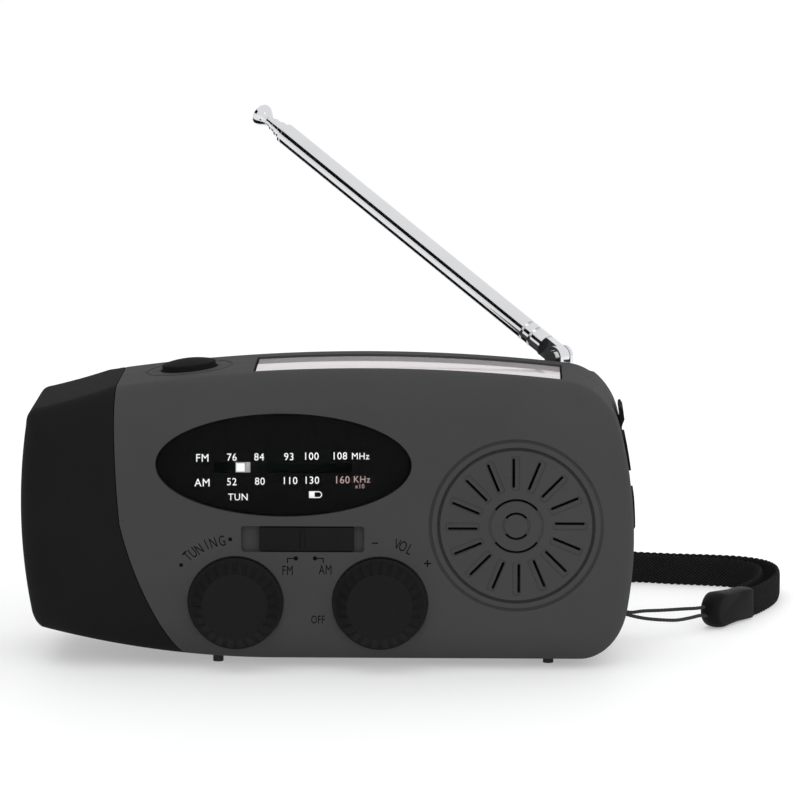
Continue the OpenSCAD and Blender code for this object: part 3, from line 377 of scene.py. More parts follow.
def weave_material():
    """Black woven tape, its threads laid by the strap's UV map, which is in millimetres."""
    mat, tree, shader = new_material("webbing_black")
    uv = tree.nodes.new("ShaderNodeUVMap")
    uv.uv_map = "along"
    split = tree.nodes.new("ShaderNodeSeparateXYZ")
    tree.links.new(uv.outputs["UV"], split.inputs["Vector"])

    def wave(source, pitch, phase=0.0):
        mul = tree.nodes.new("ShaderNodeMath")
        mul.operation = "MULTIPLY_ADD"
        mul.inputs[1].default_value = 2 * math.pi / pitch
        mul.inputs[2].default_value = phase
        tree.links.new(source, mul.inputs[0])
        s = tree.nodes.new("ShaderNodeMath")
        s.operation = "SINE"
        tree.links.new(mul.outputs[0], s.inputs[0])
        return s.outputs[0]

    a = wave(split.outputs["X"], 0.9)
    b = wave(split.outputs["Y"], 0.7)
    prod = tree.nodes.new("ShaderNodeMath")
    prod.operation = "MULTIPLY"
    tree.links.new(a, prod.inputs[0])
    tree.links.new(b, prod.inputs[1])
    fuzz = noise(tree, 5000, 3.0)
    add = tree.nodes.new("ShaderNodeMath")
    add.operation = "ADD"
    tree.links.new(prod.outputs[0], add.inputs[0])
    tree.links.new(fuzz.outputs["Fac"], add.inputs[1])
    threads = mix_colours(tree, add.outputs[0], (0.007, 0.007, 0.007), (0.021, 0.021, 0.021), 0.0, 1.0)
    tree.links.new(threads, shader.inputs["Base Color"])
    shader.inputs["Roughness"].default_value = 0.85
    shader.inputs["Specular IOR Level"].default_value = 0.05
    bump = tree.nodes.new("ShaderNodeBump")
    bump.inputs["Distance"].default_value = 0.0002
    tree.links.new(add.outputs[0], bump.inputs["Height"])
    tree.links.new(bump.outputs["Normal"], shader.inputs["Normal"])
    return mat


M["webbing_black"] = weave_material()


def paint(obj, key):
    obj.data.materials.clear()
    obj.data.materials.append(M[key])


# ---------------------------------------------------------------- wrist strap: cord, clasp and webbing


def spline(route, steps):
    """Catmull-Rom curve through the route's points."""
    p = [np.array(q, float) for q in route]
    out = []
    for i in range(len(p) - 1):
        a, b, c, d = p[max(i - 1, 0)], p[i], p[i + 1], p[min(i + 2, len(p) - 1)]
        for s in range(steps):
            t = s / steps
            square = (2 * a - 5 * b + 4 * c - d) * t * t
            cube = (3 * b - a - 3 * c + d) * t ** 3
            out.append(0.5 * (2 * b + (c - a) * t + square + cube))
    out.append(p[-1])
    return np.array(out)


def length_of(path):
    return float(np.linalg.norm(np.diff(path, axis=0), axis=1).sum())


def evenly(path, count):
    """The path again, with its points at equal distances."""
    step = np.concatenate([[0], np.cumsum(np.linalg.norm(np.diff(path, axis=0), axis=1))])
    want = np.linspace(0, step[-1], count)
    return np.stack([np.interp(want, step, path[:, k]) for k in range(path.shape[1])], 1)


CORD_ROUTE = [(58.1, 13.2, 6.8), (61.5, 13, 6.2), (64, 13.4, 5.6), (67, 15.4, 5.5), (71, 18.2, 5.1),
              (75.5, 20.6, 4.9), (79, 22.2, 4.8), (82, 24, 5), (84.4, 26.6, 5.2), (85.4, 28.2, 4),
              (84.4, 26.6, 2.6), (82, 23.8, 2.8), (79.4, 21, 3.4), (77, 18.4, 3.4), (74, 16, 3.4),
              (70.5, 13.9, 3.9), (67, 12.1, 4.6), (64, 11.2, 5.4), (61.5, 11, 6.2), (58.1, 10.8, 6.7)]
cord_path = spline(CORD_ROUTE, 12)
cord_length = length_of(cord_path)
cord_path = evenly(cord_path, 420)
verts = []
CORD_SIDES = 14
for i, p in enumerate(cord_path):
    way = Vector(cord_path[min(i + 1, len(cord_path) - 1)] - cord_path[max(i - 1, 0)]).normalized()
    side = way.cross(Vector((0.4, -0.9, 0.1))).normalized()
    up = way.cross(side)
    s = i / (len(cord_path) - 1) * cord_length
    for k in range(CORD_SIDES):
        a = 2 * math.pi * k / CORD_SIDES
        r = 0.385 + 0.022 * math.sin(2 * a + 2 * math.pi * s / 1.6) * math.sin(2 * a - 2 * math.pi * s / 1.6)
        verts.append(Vector(p) + (side * math.cos(a) + up * math.sin(a)) * r)
faces = grid_faces(len(cord_path), CORD_SIDES)
faces += [tuple(range(CORD_SIDES)), tuple(len(verts) - CORD_SIDES + k for k in range(CORD_SIDES))]
strap_cord = add_mesh("strap_cord_braid", verts, faces)
paint(strap_cord, "cord_black")
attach(strap_cord, "radio")
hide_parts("strap_cord")

WEBBING_ROUTE = [(87.6, 34), (91.3, 37), (93.9, 42), (96.2, 48), (97.7, 54.5), (97.9, 61), (95.8, 67.4),
                 (91, 71.6), (84, 73.6), (75, 74.9), (66, 76.8), (56, 79.2), (46, 81), (36, 82), (27, 81.2),
                 (20.4, 77.8), (18.6, 72.6), (22.6, 68.6), (30, 67.8), (42, 69.4), (54, 71.8), (66, 73.6),
                 (75, 71.6), (82, 70.2), (88, 68.4), (92, 65), (94, 60.6), (94.1, 55), (92.9, 49),
                 (91, 43.4),
                 (88.8, 38.8), (86.4, 35.4)]
strap_lo, strap_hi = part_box("strap_webbing")
STRAP_W = (strap_hi.z - strap_lo.z) / MM
web_path = spline(WEBBING_ROUTE, 16)
web_length = length_of(web_path)
web_count = int(web_length / 0.25)
web_path = evenly(web_path, web_count)


def webbing(name, path, length, width, thick):
    """A woven tape on edge. Its long edges are scalloped by the weft's turns, and its faces are ribbed."""
    half = 12
    n = 2 * half + 2
    verts, uvs = [], []
    for i, p in enumerate(path):
        way = path[min(i + 1, len(path) - 1)] - path[max(i - 1, 0)]
        way = way / np.linalg.norm(way)
        side = np.array([way[1], -way[0]])
        s = i / (len(path) - 1) * length
        scallop = 0.22 * abs(math.sin(math.pi * s / 1.5))
        lo, hi = 0.25 - scallop, width - 0.25 + scallop
        for face in (1, -1):
            for k in range(half + 1):
                t = k / half if face == 1 else 1 - k / half
                z = lo + (hi - lo) * t
                edge = 1 - abs(2 * t - 1) ** 6
                phase = 0 if face == 1 else math.pi
                rib = 0.10 * math.sin(2 * math.pi * s / 1.5 + phase) * math.cos(math.pi * k)
                off = face * (thick / 2 * (0.35 + 0.65 * edge) - 0.05 + rib * 0.45)
                verts.append((p[0] + side[0] * off, p[1] + side[1] * off, max(z, 0.02)))
                uvs.append((s, z))
    n = 2 * (half + 1)
    faces = grid_faces(len(path), n)
    faces += [tuple(range(n)), tuple(len(verts) - n + k for k in range(n))]
    obj = add_mesh(name, verts, faces)
    layer = obj.data.uv_layers.new(name="along")
    for loop in obj.data.loops:
        layer.data[loop.index].uv = uvs[loop.vertex_index]
    return obj


strap = webbing("strap_webbing_woven", web_path, web_length, STRAP_W, 1.1)
paint(strap, "webbing_black")
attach(strap, "radio")
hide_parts("strap_webbing")


def clasp_shape():
    """The moulded clasp: a plate on edge, round where the cord enters and square-ended where the webbing is
    held.
    """
    at, turn, long, high, thick = Vector((81, 22, 0)), math.radians(58), 17.0, 7.8, 4.6
    outline = []
    for i in range(25):
        a = math.radians(90 + 180 * i / 24)
        outline.append((high / 2 + high / 2 * math.cos(a), high / 2 + high / 2 * math.sin(a)))
    for i in range(1, 16):
        outline.append((high / 2 + (long - high / 2 - 0.5) * i / 15, 0.0))
    outline += [(long - 0.15, 0.15), (long, 0.5)]
    outline += [(long, 0.5 + (high - 1) * i / 8) for i in range(1, 8)]
    outline += [(long, high - 0.5), (long - 0.15, high - 0.15)]
    outline += [(long - 0.5 - (long - high / 2 - 0.5) * i / 15, high) for i in range(0, 15)]
    pts = np.array(outline)
    mid = np.array([long * 0.52, high / 2])
    rings = []
    edge = 1.1
    for j in range(13):
        a = math.pi * j / 12
        y = -math.cos(a)
        inset = edge * (1 - math.sin(a)) if abs(y) > 0 else 0
        ring = []
        for p in pts:
            d = p - mid
            q = p - d / np.linalg.norm(d) * inset
            waist = 1 - 0.10 * math.exp(-((q[0] - 11.0) / 2.2) ** 2)
            low = 1 - 0.14 * max(0.0, (q[0] - high / 2) / (long - high / 2))
            ring.append((q[0], y * thick / 2 * waist, max(q[1] * low, 0.01)))
        rings.append(ring)
    c, s = math.cos(turn), math.sin(turn)
    rings = [[(at.x + x * c - y * s, at.y + x * s + y * c, z) for x, y, z in r] for r in rings]
    return loft("strap_clasp_moulded", rings)


clasp = clasp_shape()
sharpen(clasp, 45)
paint(clasp, "clasp_black")
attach(clasp, "radio")
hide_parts("strap_clasp")

web_line = [(p[0] * MM, p[1] * MM, STRAP_W / 2 * MM) for p in web_path[::6]]
web_line.append((web_path[-1][0] * MM, web_path[-1][1] * MM, STRAP_W / 2 * MM))
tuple(web_line[0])

# ---------------------------------------------------------------- outline of the body, as in the CAD


def corner(a, b, c, n=14, w=0.75):
    a, b, c = (np.array(q, float) for q in (a, b, c))
    out = []
    for i in range(n + 1):
        t = i / n
        first, middle, last = (1 - t) ** 2, 2 * w * t * (1 - t), t * t
        out.append((first * a + middle * b + last * c) / (first + middle + last))
    return out


def bow(a, b, sag, n):
    a, b = np.array(a, float), np.array(b, float)
    across = np.array([b[1] - a[1], a[0] - b[0]]) / np.linalg.norm(b - a)
    return [a + (b - a) * i / n + across * 4 * sag * (i / n) * (1 - i / n) for i in range(1, n)]


HALF_W, BOTTOM, TOP, MID_Z, DEEP, EDGE, CROWN = 63.9, 1.3, 62.3, 31.0, 22.5, 8.0, 200.0
SEAM_ARCS = ((33.7, 48.0, 78.0), (206.5, 54.0, 250.0))
TOP_A, TOP_B = np.array([HALF_W - 13.3, TOP - 2.4]), np.array([-44.6, TOP - 3.8])


def outline(d):
    def at(points, dx, dz):
        return [(p[0] + dx, p[1] + dz) for p in points]

    lr = at([(53.1, 1.3), (60.8, 1.3), (62.6, 11.3)], -d, d)
    hr = at([(60.9, 50.0), (58.6, 59.0), (50.6, 59.9)], -d, -d)
    hl = at([(-60.4, 53.9), (-62.3, 53.4), (-62.25, 50.8)], d, -d)
    ll = at([(-61.5, 11.2), (-60.9, 8.3), (-59.3, 7.7)], d, d)
    st, fe = (-44.6, 58.5 - d), (-9.7, 1.3 + d)
    pts = corner(*lr) + bow(lr[2], hr[0], 2.15, 34) + corner(*hr) + bow(hr[2], st, 3.05,
        84) + [np.array(st)]
    pts += bow(st, hl[0], -0.25, 12) + corner(*hl, n=10) + bow(hl[2], ll[0], 1.6, 30)
    pts += corner(*ll, n=10) + bow(ll[2], fe, 1.65, 40) + [np.array(fe)] + bow(fe, lr[0], 0.0, 44)
    return np.array(pts)


def top_at(x):
    t = (TOP_A[0] - x) / (TOP_A[0] - TOP_B[0])
    ab = TOP_B - TOP_A
    across = np.array([ab[1], -ab[0]]) / np.linalg.norm(ab)
    return float((TOP_A + ab * t + across * 4 * 3.05 * t * (1 - t))[1])


def top_slope(x):
    return math.atan2(top_at(x + 0.5) - top_at(x - 0.5), 1)


def crown(z):
    return (z - MID_Z) ** 2 / (2 * CROWN)


def form_rings(d, edge, front_depth, back_depth, front=True, back=True, gap=0.0):
    """Rings of the body's outer form, drawn in by d, from the front's middle to the back's."""
    rings = []
    base = outline(d + edge)
    if front:
        for s in (0.02, 0.1, 0.2, 0.3, 0.4, 0.5, 0.6, 0.7, 0.8, 0.87, 0.93, 0.97):
            rings.append([(p[0] * s, -front_depth + crown(MID_Z + (p[1] - MID_Z) * s),
                MID_Z + (p[1] - MID_Z) * s) for p in base])
        for i in range(15):
            a = math.pi / 2 * i / 14
            y = -front_depth + edge * (1 - math.cos(a))
            rings.append([(p[0], y + crown(p[1]) * (-y / DEEP), p[1])
                for p in outline(d + edge * (1 - math.sin(a)))])
        if not back:
            rings.append([(p[0], -gap, p[1]) for p in outline(d)])
    if back:
        if not front:
            rings.append([(p[0], gap, p[1]) for p in outline(d)])
        for i in range(14, -1, -1):
            a = math.pi / 2 * i / 14
            rings.append([(p[0], back_depth - edge * (1 - math.cos(a)), p[1])
                for p in outline(d + edge * (1 - math.sin(a)))])
        for s in (0.9, 0.75, 0.6, 0.45, 0.3, 0.15, 0.02):
            rings.append([(p[0] * s, back_depth, MID_Z + (p[1] - MID_Z) * s) for p in base])
    return rings


def shell(name, front, back):
    """A hollow shell: the outer form and an inner one, joined at the open edge if there is one."""
    outer = form_rings(0.0, EDGE, DEEP, DEEP, front, back, 0.06)
    inner = form_rings(2.0, 6.5, DEEP - 2.2, DEEP - 2.2, front, back, 0.06)
    n = len(outer[0])
    if front and back:
        return join(name, [loft("o", outer), loft("i", inner)])
    if back:
        outer.reverse()
        inner.reverse()
    rings = outer + inner[::-1]
    return loft(name, rings)


# ---------------------------------------------------------------- cutters shared by the shells

dial = centre("dial_cover")
dial_lo, dial_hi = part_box("dial_cover")
DIAL_A, DIAL_B = (dial_hi.x - dial_lo.x) / 2 / MM + 0.06, 10.7
DIAL_X, DIAL_Z = dial.x, 43.5
DIAL_TILT = math.radians(-3.6)
KNOBS = (centre("tuning_knob"), centre("volume_knob"))
speaker = centre("speaker_frame")
switch = centre("band_switch_body")
button = centre("torch_button")
solar = centre("solar_cover")
solar_lo, solar_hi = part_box("solar_cover")
BUTTON_X = -29.2
ledge_y, ledge_z = 11.6, 57.4


def in_dial(p):
    """From the dial's own frame (Y into the body from its face) to the radio's."""
    c, s = math.cos(DIAL_TILT), math.sin(DIAL_TILT)
    y, z = p[1], p[2] - DIAL_Z
    return (p[0], -DEEP + crown(DIAL_Z) + c * y - s * z, DIAL_Z + s * y + c * z)


def on_top(x, y=0.0):
    a = top_slope(x)
    return Matrix.Translation(Vector((x, y, top_at(x)))) @ Matrix.Rotation(-a, 4, "Y")


def moved(obj, matrix):
    m = matrix.copy()
    m.translation = m.translation * MM
    obj.data.transform(m)
    return obj


def oval(a, b, n=160):
    turns = [2 * math.pi * i / n for i in range(n)]
    return [(DIAL_X + a * math.cos(t), DIAL_Z + b * math.sin(t)) for t in turns]


def arc_shape(cx, cz, r0, r1, start, sweep, n=24):
    turns = [math.radians(start + sweep * i / n) for i in range(n + 1)]
    out = [(cx + r1 * math.cos(t), cz + r1 * math.sin(t)) for t in turns]
    return out + [(cx + r0 * math.cos(t), cz + r0 * math.sin(t)) for t in reversed(turns)]


def ring_faces(n, m):
    """Faces of a closed ring with n sections of m points each."""
    return [(i * m + j, (i + 1) % n * m + j, (i + 1) % n * m + (j + 1) % m, i * m + (j + 1) % m)
            for i in range(n) for j in range(m)]


def groove_ring(name, x, z, r, width, depth, y):
    """A round-bottomed ring groove in the front face."""
    prof = [(r + width / 2, y - 2)]
    prof += [(r + width / 2 * math.cos(t), y + depth * math.sin(t)) for t in np.linspace(0, math.pi, 9)]
    prof += [(r - width / 2, y - 2)]
    n = 180
    verts = []
    for i in range(n):
        c, q = math.cos(2 * math.pi * i / n), math.sin(2 * math.pi * i / n)
        verts += [(x + pr * c, py + crown(z + pr * q), z + pr * q) for pr, py in prof]
    m = len(prof)
    faces = ring_faces(n, m)
    return add_mesh(name, verts, faces)


def flared_hole(name, x, z, r, y_face, y_floor, flare=0.35):
    prof = [(0, y_face - 6), (r + flare, y_face - 6), (r + flare, y_face - 0.02)]
    for t in np.linspace(0, math.pi / 2, 6):
        prof.append((r + flare * (1 - math.sin(t)), y_face + flare * (1 - math.cos(t))))
    prof += [(r, y_floor), (0, y_floor)]
    return lathe(name, prof, (x, 0, z), (0, 1, 0), 128)


def solar_cutter():
    w, d = (solar_hi.x - solar_lo.x) / MM + 0.4, (solar_hi.y - solar_lo.y) / MM + 0.4
    obj = box_mesh("c", (-w / 2, -d / 2, -3.8), (w / 2, d / 2, 12))
    return moved(obj, on_top(solar.x, solar.y))


def button_cutters():
    hole_prof = [(0, -8), (5.95, -8), (5.95, -0.3), (6.1, -0.05), (6.3, 0.25), (6.3, 9), (0, 9)]
    hole = lathe("c", hole_prof, (0, 0, 0), (0, 0, 1), 96)
    round_end = [(8.95 + 0.3 * math.cos(t), -0.32 * math.sin(t)) for t in np.linspace(0, math.pi, 9)]
    prof = [(9.25, 5)] + round_end + [(8.65, 5)]
    n, m = 128, len(prof)
    turns = [2 * math.pi * i / n for i in range(n)]
    verts = [(pr * math.cos(t), pr * math.sin(t), h) for t in turns for pr, h in prof]
    faces = ring_faces(n, m)
    return [moved(hole, on_top(BUTTON_X)), moved(add_mesh("c", verts, faces), on_top(BUTTON_X))]


def ledge_cutter():
    pts = [(ledge_y, 57.7), (ledge_y + 0.3, 57.4), (60, 57.4), (60, 90), (ledge_y, 90)]
    rings = [[(x, p[0], p[1]) for p in pts] for x in (-90, 90)]
    return loft("c", rings)


def port_cutter():
    return [box_mesh("c", (60.2, -5.8, 26.75), (90, 5.8, 49.9)),
            box_mesh("c", (45, -2.9, 37.4), (70, 2.9, 50.5)),
            box_mesh("c", (53, -1.45, 30), (70, 1.45, 37))]


def foot_cutters():
    return [lathe("c", [(0, -2), (1.15, -2), (1.15, 3.6), (0, 3.6)], (x, y, 0), (0, 0, 1), 32)
            for x in (-22.8, 46.3) for y in (-11, 11)]


def seam_tool(grow):
    """Everything to the right of the seam."""
    pts = [(150, -20), (150, 100)]
    for z in np.linspace(100, -20, 361):
        pts.append((max(cx - math.sqrt((r + grow) ** 2 - (z - cz) ** 2) for cx, cz, r in SEAM_ARCS), z))
    return prism("c", pts, -60, 60)


# ---------------------------------------------------------------- front shell

front = shell("front_shell_skin", True, False)
cut(front, [seam_tool(-0.09)], "INTERSECT")
face_y = -DEEP
tools = [prism("c", oval(DIAL_A, DIAL_B), -8, 2.2, flare=0.2, lip=0.25, place=in_dial)]
tools.append(prism("c", rounded((-23.6, 41.2, 6.3, 44.6), 0.5), 1.9, 8, place=in_dial))
for k in KNOBS:
    tools.append(flared_hole("c", k.x, k.z, 9.9, face_y + crown(k.z), face_y + 1.4, 0.15))
    tools.append(tube_y("c", k.x, k.z, 2.45, face_y + 1, -10, 48))
slot_shape = rounded((switch.x - 12.65, switch.z - 2.7, switch.x + 12.65, switch.z + 2.7), 0.7)
tools.append(prism("c", slot_shape, -8, 1.3, flare=0.3, lip=0.3,
    place=lambda p: (p[0], p[1] + face_y, p[2])))
stem_shape = rounded((switch.x - 4.3, switch.z - 1.8, switch.x + 4.3, switch.z + 1.8), 0.3)
tools.append(prism("c", stem_shape, face_y + 1, -12))
for r, w, d in ((17.7, 0.7, 0.45), (16.0, 0.7, 0.7), (5.45, 0.6, 0.22), (2.65, 0.6, 0.22)):
    tools.append(groove_ring("c", speaker.x, speaker.z, r, w, d, face_y))
for i in range(16):
    a = math.radians(22.5 * i)
    c, s = math.cos(a), math.sin(a)
    bar = rounded((7.95, 0.27, 14.1, 0.83), 0.25, 4)
    slit = [(speaker.x + x * c - z * s, speaker.z + x * s + z * c) for x, z in bar]
    tools.append(prism("c", slit, face_y - 3, face_y + 4))
    # the shallow bed that each slit lies in
    bed_bar = rounded((7.5, -0.75, 14.6, 1.0), 0.5, 4)
    bed = [(speaker.x + x * c - z * s, speaker.z + x * s + z * c) for x, z in bed_bar]
    tools.append(loft("c", [[(x, y + crown(z), z) for x, z in bed] for y in (face_y - 3, face_y + 0.16)]))
for r in (2.65, 5.45):
    for a in (38, 218):
        arc = arc_shape(speaker.x, speaker.z, r - 0.22, r + 0.22, a, 104)
        tools.append(prism("c", arc, face_y - 3, face_y + 4))
tools += [solar_cutter(), ledge_cutter()] + button_cutters() + port_cutter() + foot_cutters()
cut(front, tools)
sharpen(front, 34)
paint(front, "case_grey")
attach(front, "radio")
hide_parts("front_shell")

# ---------------------------------------------------------------- rear shell

# The housing screws' places, and the wells and posts round them
SCREWS = ((-31, 10.5), (-39, 51), (43.5, 50.3), (57.5, 14))
SCREW_WELL = [(0, 17.5), (2.6, 17.5), (2.6, 22.2), (2.75, 22.45), (3.0, 22.6), (3.0, 30), (0, 30)]
SCREW_POST = [(1.45, 10), (3.6, 10), (3.6, 21.0), (2.6, 21.0), (2.6, 17.5), (1.45, 17.5), (1.45, 10)]
rear = shell("rear_shell_skin", False, True)
cut(rear, [seam_tool(-0.09)], "INTERSECT")
crank = Vector(JOINTS["crank_spin"]["pos_m"]) / MM
pivot = Vector(JOINTS["antenna_tilt"]["pos_m"]) / MM
tools = [solar_cutter(), ledge_cutter()] + button_cutters() + port_cutter() + foot_cutters()
tools.append(tube_y("c", crank.x, crank.z, 4.55, 15, 30, 64))
for x, z in SCREWS:
    tools.append(lathe("c", SCREW_WELL, (x, 0, z), (0, 1, 0), 64))
bush_seat = [(0, 50), (2.85, 50), (2.85, 62), (0, 62)]
tools.append(lathe("c", bush_seat, (pivot.x, pivot.y, 0), (0, 0, 1), 48))
tools.append(box_mesh("c", (57.2, 9.4, 5.4), (80, 14.6, 8.8)))
cut(rear, tools)
sharpen(rear, 34)
posts = [lathe("p", SCREW_POST, (x, 0, z), (0, 1, 0), 48) for x, z in SCREWS]
# The ledge behind the solar panel: its floor and the step up to the top, set into the walls
ledge_pts = [(ledge_y - 2, 90), (ledge_y - 2, ledge_z - 2), (60, ledge_z - 2), (60, ledge_z - 0.02)]
ledge_pts += [(ledge_y - 0.02, ledge_z - 0.02), (ledge_y - 0.02, 90)]
ledge = loft("ledge", [[(x, y, z) for y, z in ledge_pts] for x in (-90, 90)])
cut(ledge, [loft("c", form_rings(1.0, EDGE, DEEP - 1.0, DEEP - 1.0, True, True, 0.06))], "INTERSECT")
cut(ledge, [seam_tool(-0.09)], "INTERSECT")
cut(ledge, [lathe("c", bush_seat, (pivot.x, pivot.y, 0), (0, 0, 1), 48)])
rear = join("rear_shell_skin", [rear, ledge] + posts)
sharpen(rear, 34)
paint(rear, "case_grey")
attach(rear, "radio")
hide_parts("rear_shell")

# ---------------------------------------------------------------- torch head

head = shell("torch_head_skin", True, True)
tools = [seam_tool(0.09), ledge_cutter()] + button_cutters()
lens_well = [(0, -90), (14.9, -90), (14.9, -63.4), (14.5, -63.0), (14.35, -62.6), (14.35, -54), (0, -54)]
tools.append(lathe("c", lens_well, (0, 0, MID_Z), (1, 0, 0), 128))
# Room for the end of the pointer's rack
tools.append(box_mesh("c", (-47, -13.2, 20.4), (-36, -9.2, 25.8)))
cut(head, tools)
sharpen(head, 34)
paint(head, "case_black")
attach(head, "radio")
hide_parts("torch_head")

# ---------------------------------------------------------------- knobs


def knob(name, at, node):
    """A knob with a round skirt, a finely fluted cone and a lightly dished face."""
    r0, base, tip = 9.6, -21.6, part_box(node)[0].y / MM
    prof = [(0.0, base), (r0 - 0.25, base), (r0, base - 0.2), (r0, base - 1.05), (r0 - 0.12, base - 1.18)]
    steps = 22
    face_r = 0.72 * r0
    for i in range(steps + 1):
        t = i / steps
        prof.append((r0 - 0.3 + (face_r + 0.45 - r0) * t, base - 1.22 - (base - 1.22 - (tip + 0.4)) * t))
    for a in np.linspace(0, math.pi / 2, 6):
        prof.append((face_r - 0.3 + 0.4 * math.cos(a), tip + 0.4 - 0.4 * math.sin(a)))
    prof += [(face_r * 0.8, tip + 0.05), (face_r * 0.5, tip + 0.1), (face_r * 0.2, tip + 0.12),
        (0, tip + 0.12)]
    last_side = 5 + steps

    def flute(r, h, a, j):
        if j < 5 or j > last_side + 3:
            return r
        deep = 0.34 * min(1.0, (j - 4) / 3) * (1.0 if j <= last_side else 1 - (j - last_side) / 4)
        w = abs(math.sin(12 * a))
        return r - deep * max(0.0, 1 - (w / 0.6) ** 2) ** 0.5 if w < 0.6 else r

    return lathe(name, prof, (at.x, 0, at.z), (0, 1, 0), 24 * 14, flute)


for node, body, at in (("tuning_knob", "tuning", KNOBS[0]), ("volume_knob", "volume", KNOBS[1])):
    k = knob(node + "_fluted", at, node)
    if node == "volume_knob":
        k = join(node + "_fluted", [k, tube_y("s", at.x, at.z, 2.4, -21.7, -9, 48)])
    sharpen(k, 40)
    paint(k, "knob_black")
    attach(k, body)
    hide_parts(node)

# ---------------------------------------------------------------- torch button, band switch slider

prof = [(0, -6.6), (1.4, -6.6), (1.4, -3.0), (6.45, -3.0), (6.55, -2.9), (6.55, -2.3), (6.45, -2.2),
    (5.65, -2.2)]
prof += [(5.65, 0.9), (5.6, 1.08), (5.45, 1.2)] + [(5.3 * (1 - t), 1.24 + 0.72 * (1 - (1 - t) ** 2))
    for t in np.linspace(0, 1, 10)]
btn = moved(lathe("torch_button_domed", prof, (0, 0, 0), (0, 0, 1), 96), on_top(BUTTON_X))
sharpen(btn, 40)
paint(btn, "case_black")
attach(btn, "torch_button")
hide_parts("torch_button")

lo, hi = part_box("band_switch_slider")
sx0, sx1 = lo.x / MM, hi.x / MM
sz = switch.z
body_pts = rounded((sx0, sz - 2.5, sx1, sz + 2.5), 0.4)
mid = np.array([(sx0 + sx1) / 2, sz])
rings = []
for y, g in ((-21.3, 0), (-22.2, 0), (-22.38, 0.06), (-22.45, 0.2)):
    rings.append([(p[0] - math.copysign(g, p[0] - mid[0]), y, p[1] - math.copysign(g, p[1] - mid[1]))
        for p in body_pts])
slider = loft("s", rings)
rib = box_mesh("r", (switch.x - 0.3, -22.8, sz - 2.1), (switch.x + 0.3, -22.3, sz + 2.1))
stem = box_mesh("r", (switch.x - 2, -21.4, sz - 1.5), (switch.x + 2, -17, sz + 1.5))
slider = join("band_switch_slider_moulded", [slider, stem, rib])
sharpen(slider, 30)
paint(slider, "black_plastic")
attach(slider, "band_switch")
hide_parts("band_switch_slider")

# ---------------------------------------------------------------- dial: window, plate and print

ovals = [[in_dial(Vector((p[0], y, p[1]))) for p in oval(DIAL_A - g, DIAL_B - g)] for y,
    g in ((1.35, 0.1), (0.75, 0.1), (0.6, 0.25))]
window = loft("dial_window", ovals)
sharpen(window, 60)
paint(window, "dial_gloss")
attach(window, "radio")
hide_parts("dial_cover")

plate = prism("dial_plate_printed", oval(DIAL_A - 0.08, DIAL_B - 0.08), 1.45, 2.15, place=in_dial)
cut(plate, [prism("c", rounded((-23, 41.8, 5.7, 44.0), 0.15), 0, 4, place=in_dial)])
sharpen(plate, 30)
paint(plate, "dial_print")
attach(plate, "radio")
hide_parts("dial_plate")


def lettering(name, words, place, key, squeeze=1.0, weight=0.02):
    """Flat raised text. Each of words is (text, x, z, height of a capital, turn in degrees)."""
    parts = []
    for text, x, z, cap, turn in words:
        curve = bpy.data.curves.new("text", "FONT")
        curve.body = text
        curve.size = cap / 0.69
        curve.space_character = 1.08
        curve.align_x = "CENTER"
        curve.align_y = "CENTER"
        curve.offset = weight * cap
        curve.resolution_u = 3
        tmp = bpy.data.objects.new("text", curve)
        bpy.context.scene.collection.objects.link(tmp)
        dg = bpy.context.evaluated_depsgraph_get()
        mesh = bpy.data.meshes.new_from_object(tmp.evaluated_get(dg))
        bpy.data.objects.remove(tmp)
        c, s = math.cos(math.radians(turn)), math.sin(math.radians(turn))
        bm = bmesh.new()
        bm.from_mesh(mesh)
        ext = bmesh.ops.extrude_face_region(bm, geom=list(bm.faces))
        top = {v for v in ext["geom"] if isinstance(v, bmesh.types.BMVert)}
        for v in bm.verts:
            px, pz = v.co.x * squeeze, v.co.y
            v.co = Vector(place((x + px * c - pz * s, -0.03 if v in top else 0.01,
                z + px * s + pz * c))) * MM
        bmesh.ops.recalc_face_normals(bm, faces=bm.faces)
        bm.to_mesh(mesh)
        bm.free()
        o = bpy.data.objects.new("t", mesh)
        bpy.context.scene.collection.objects.link(o)
        parts.append(o)
    out = join(name, parts)
    paint(out, key)
    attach(out, "radio")
    return out


def on_plate(p):
    return in_dial((p[0], 1.45 + p[1], p[2]))


def on_face(p):
    return (p[0], -DEEP + crown(p[2]) + p[1], p[2])


def flat(points, place):
    """A raised flat patch: print on the dial plate, painted shade on the front face's moulded marks."""
    return prism("t", points, -0.03, 0.01, place=place)


def bar(x0, z0, x1, z1):
    return [(x0, z0), (x1, z0), (x1, z1), (x0, z1)]


def dot(x, z, r):
    return [(x + r * math.cos(2 * math.pi * i / 24), z + r * math.sin(2 * math.pi * i / 24))
        for i in range(24)]


words = [("FM", -25.26, 44.75, 1.6, 0), ("76", -19.17, 44.94, 1.5, 0), ("84", -13.54, 45.01, 1.5, 0),
    ("93", -7.37, 45.09, 1.5, 0),
         ("100", -2.82, 45.2, 1.5, 0), ("108", 3.04, 45.28, 1.5, 0), ("MHz", 7.34, 45.26, 1.35, 0),
         ("AM", -25.27, 39.62, 1.6, 0),
         ("52", -19.2, 39.84, 1.5, 0), ("80", -13.4, 39.96, 1.5, 0), ("110", -7.23, 40.12, 1.5, 0),
         ("130", -2.73, 40.22, 1.5, 0),
         ("TUN", -17.89, 36.68, 1.4, 0)]
dial_print = lettering("dial_numbers", words, on_plate, "print_white", squeeze=0.95,
    weight=0.0)
words = [("160", 3.56, 40.33, 1.5, 0), ("KHz", 7.62, 40.45, 1.35, 0), ("x10", 7.23, 39.04, 0.9, 0)]
dial_red = lettering("dial_numbers_red", words, on_plate, "print_red", squeeze=0.95,
    weight=0.0)

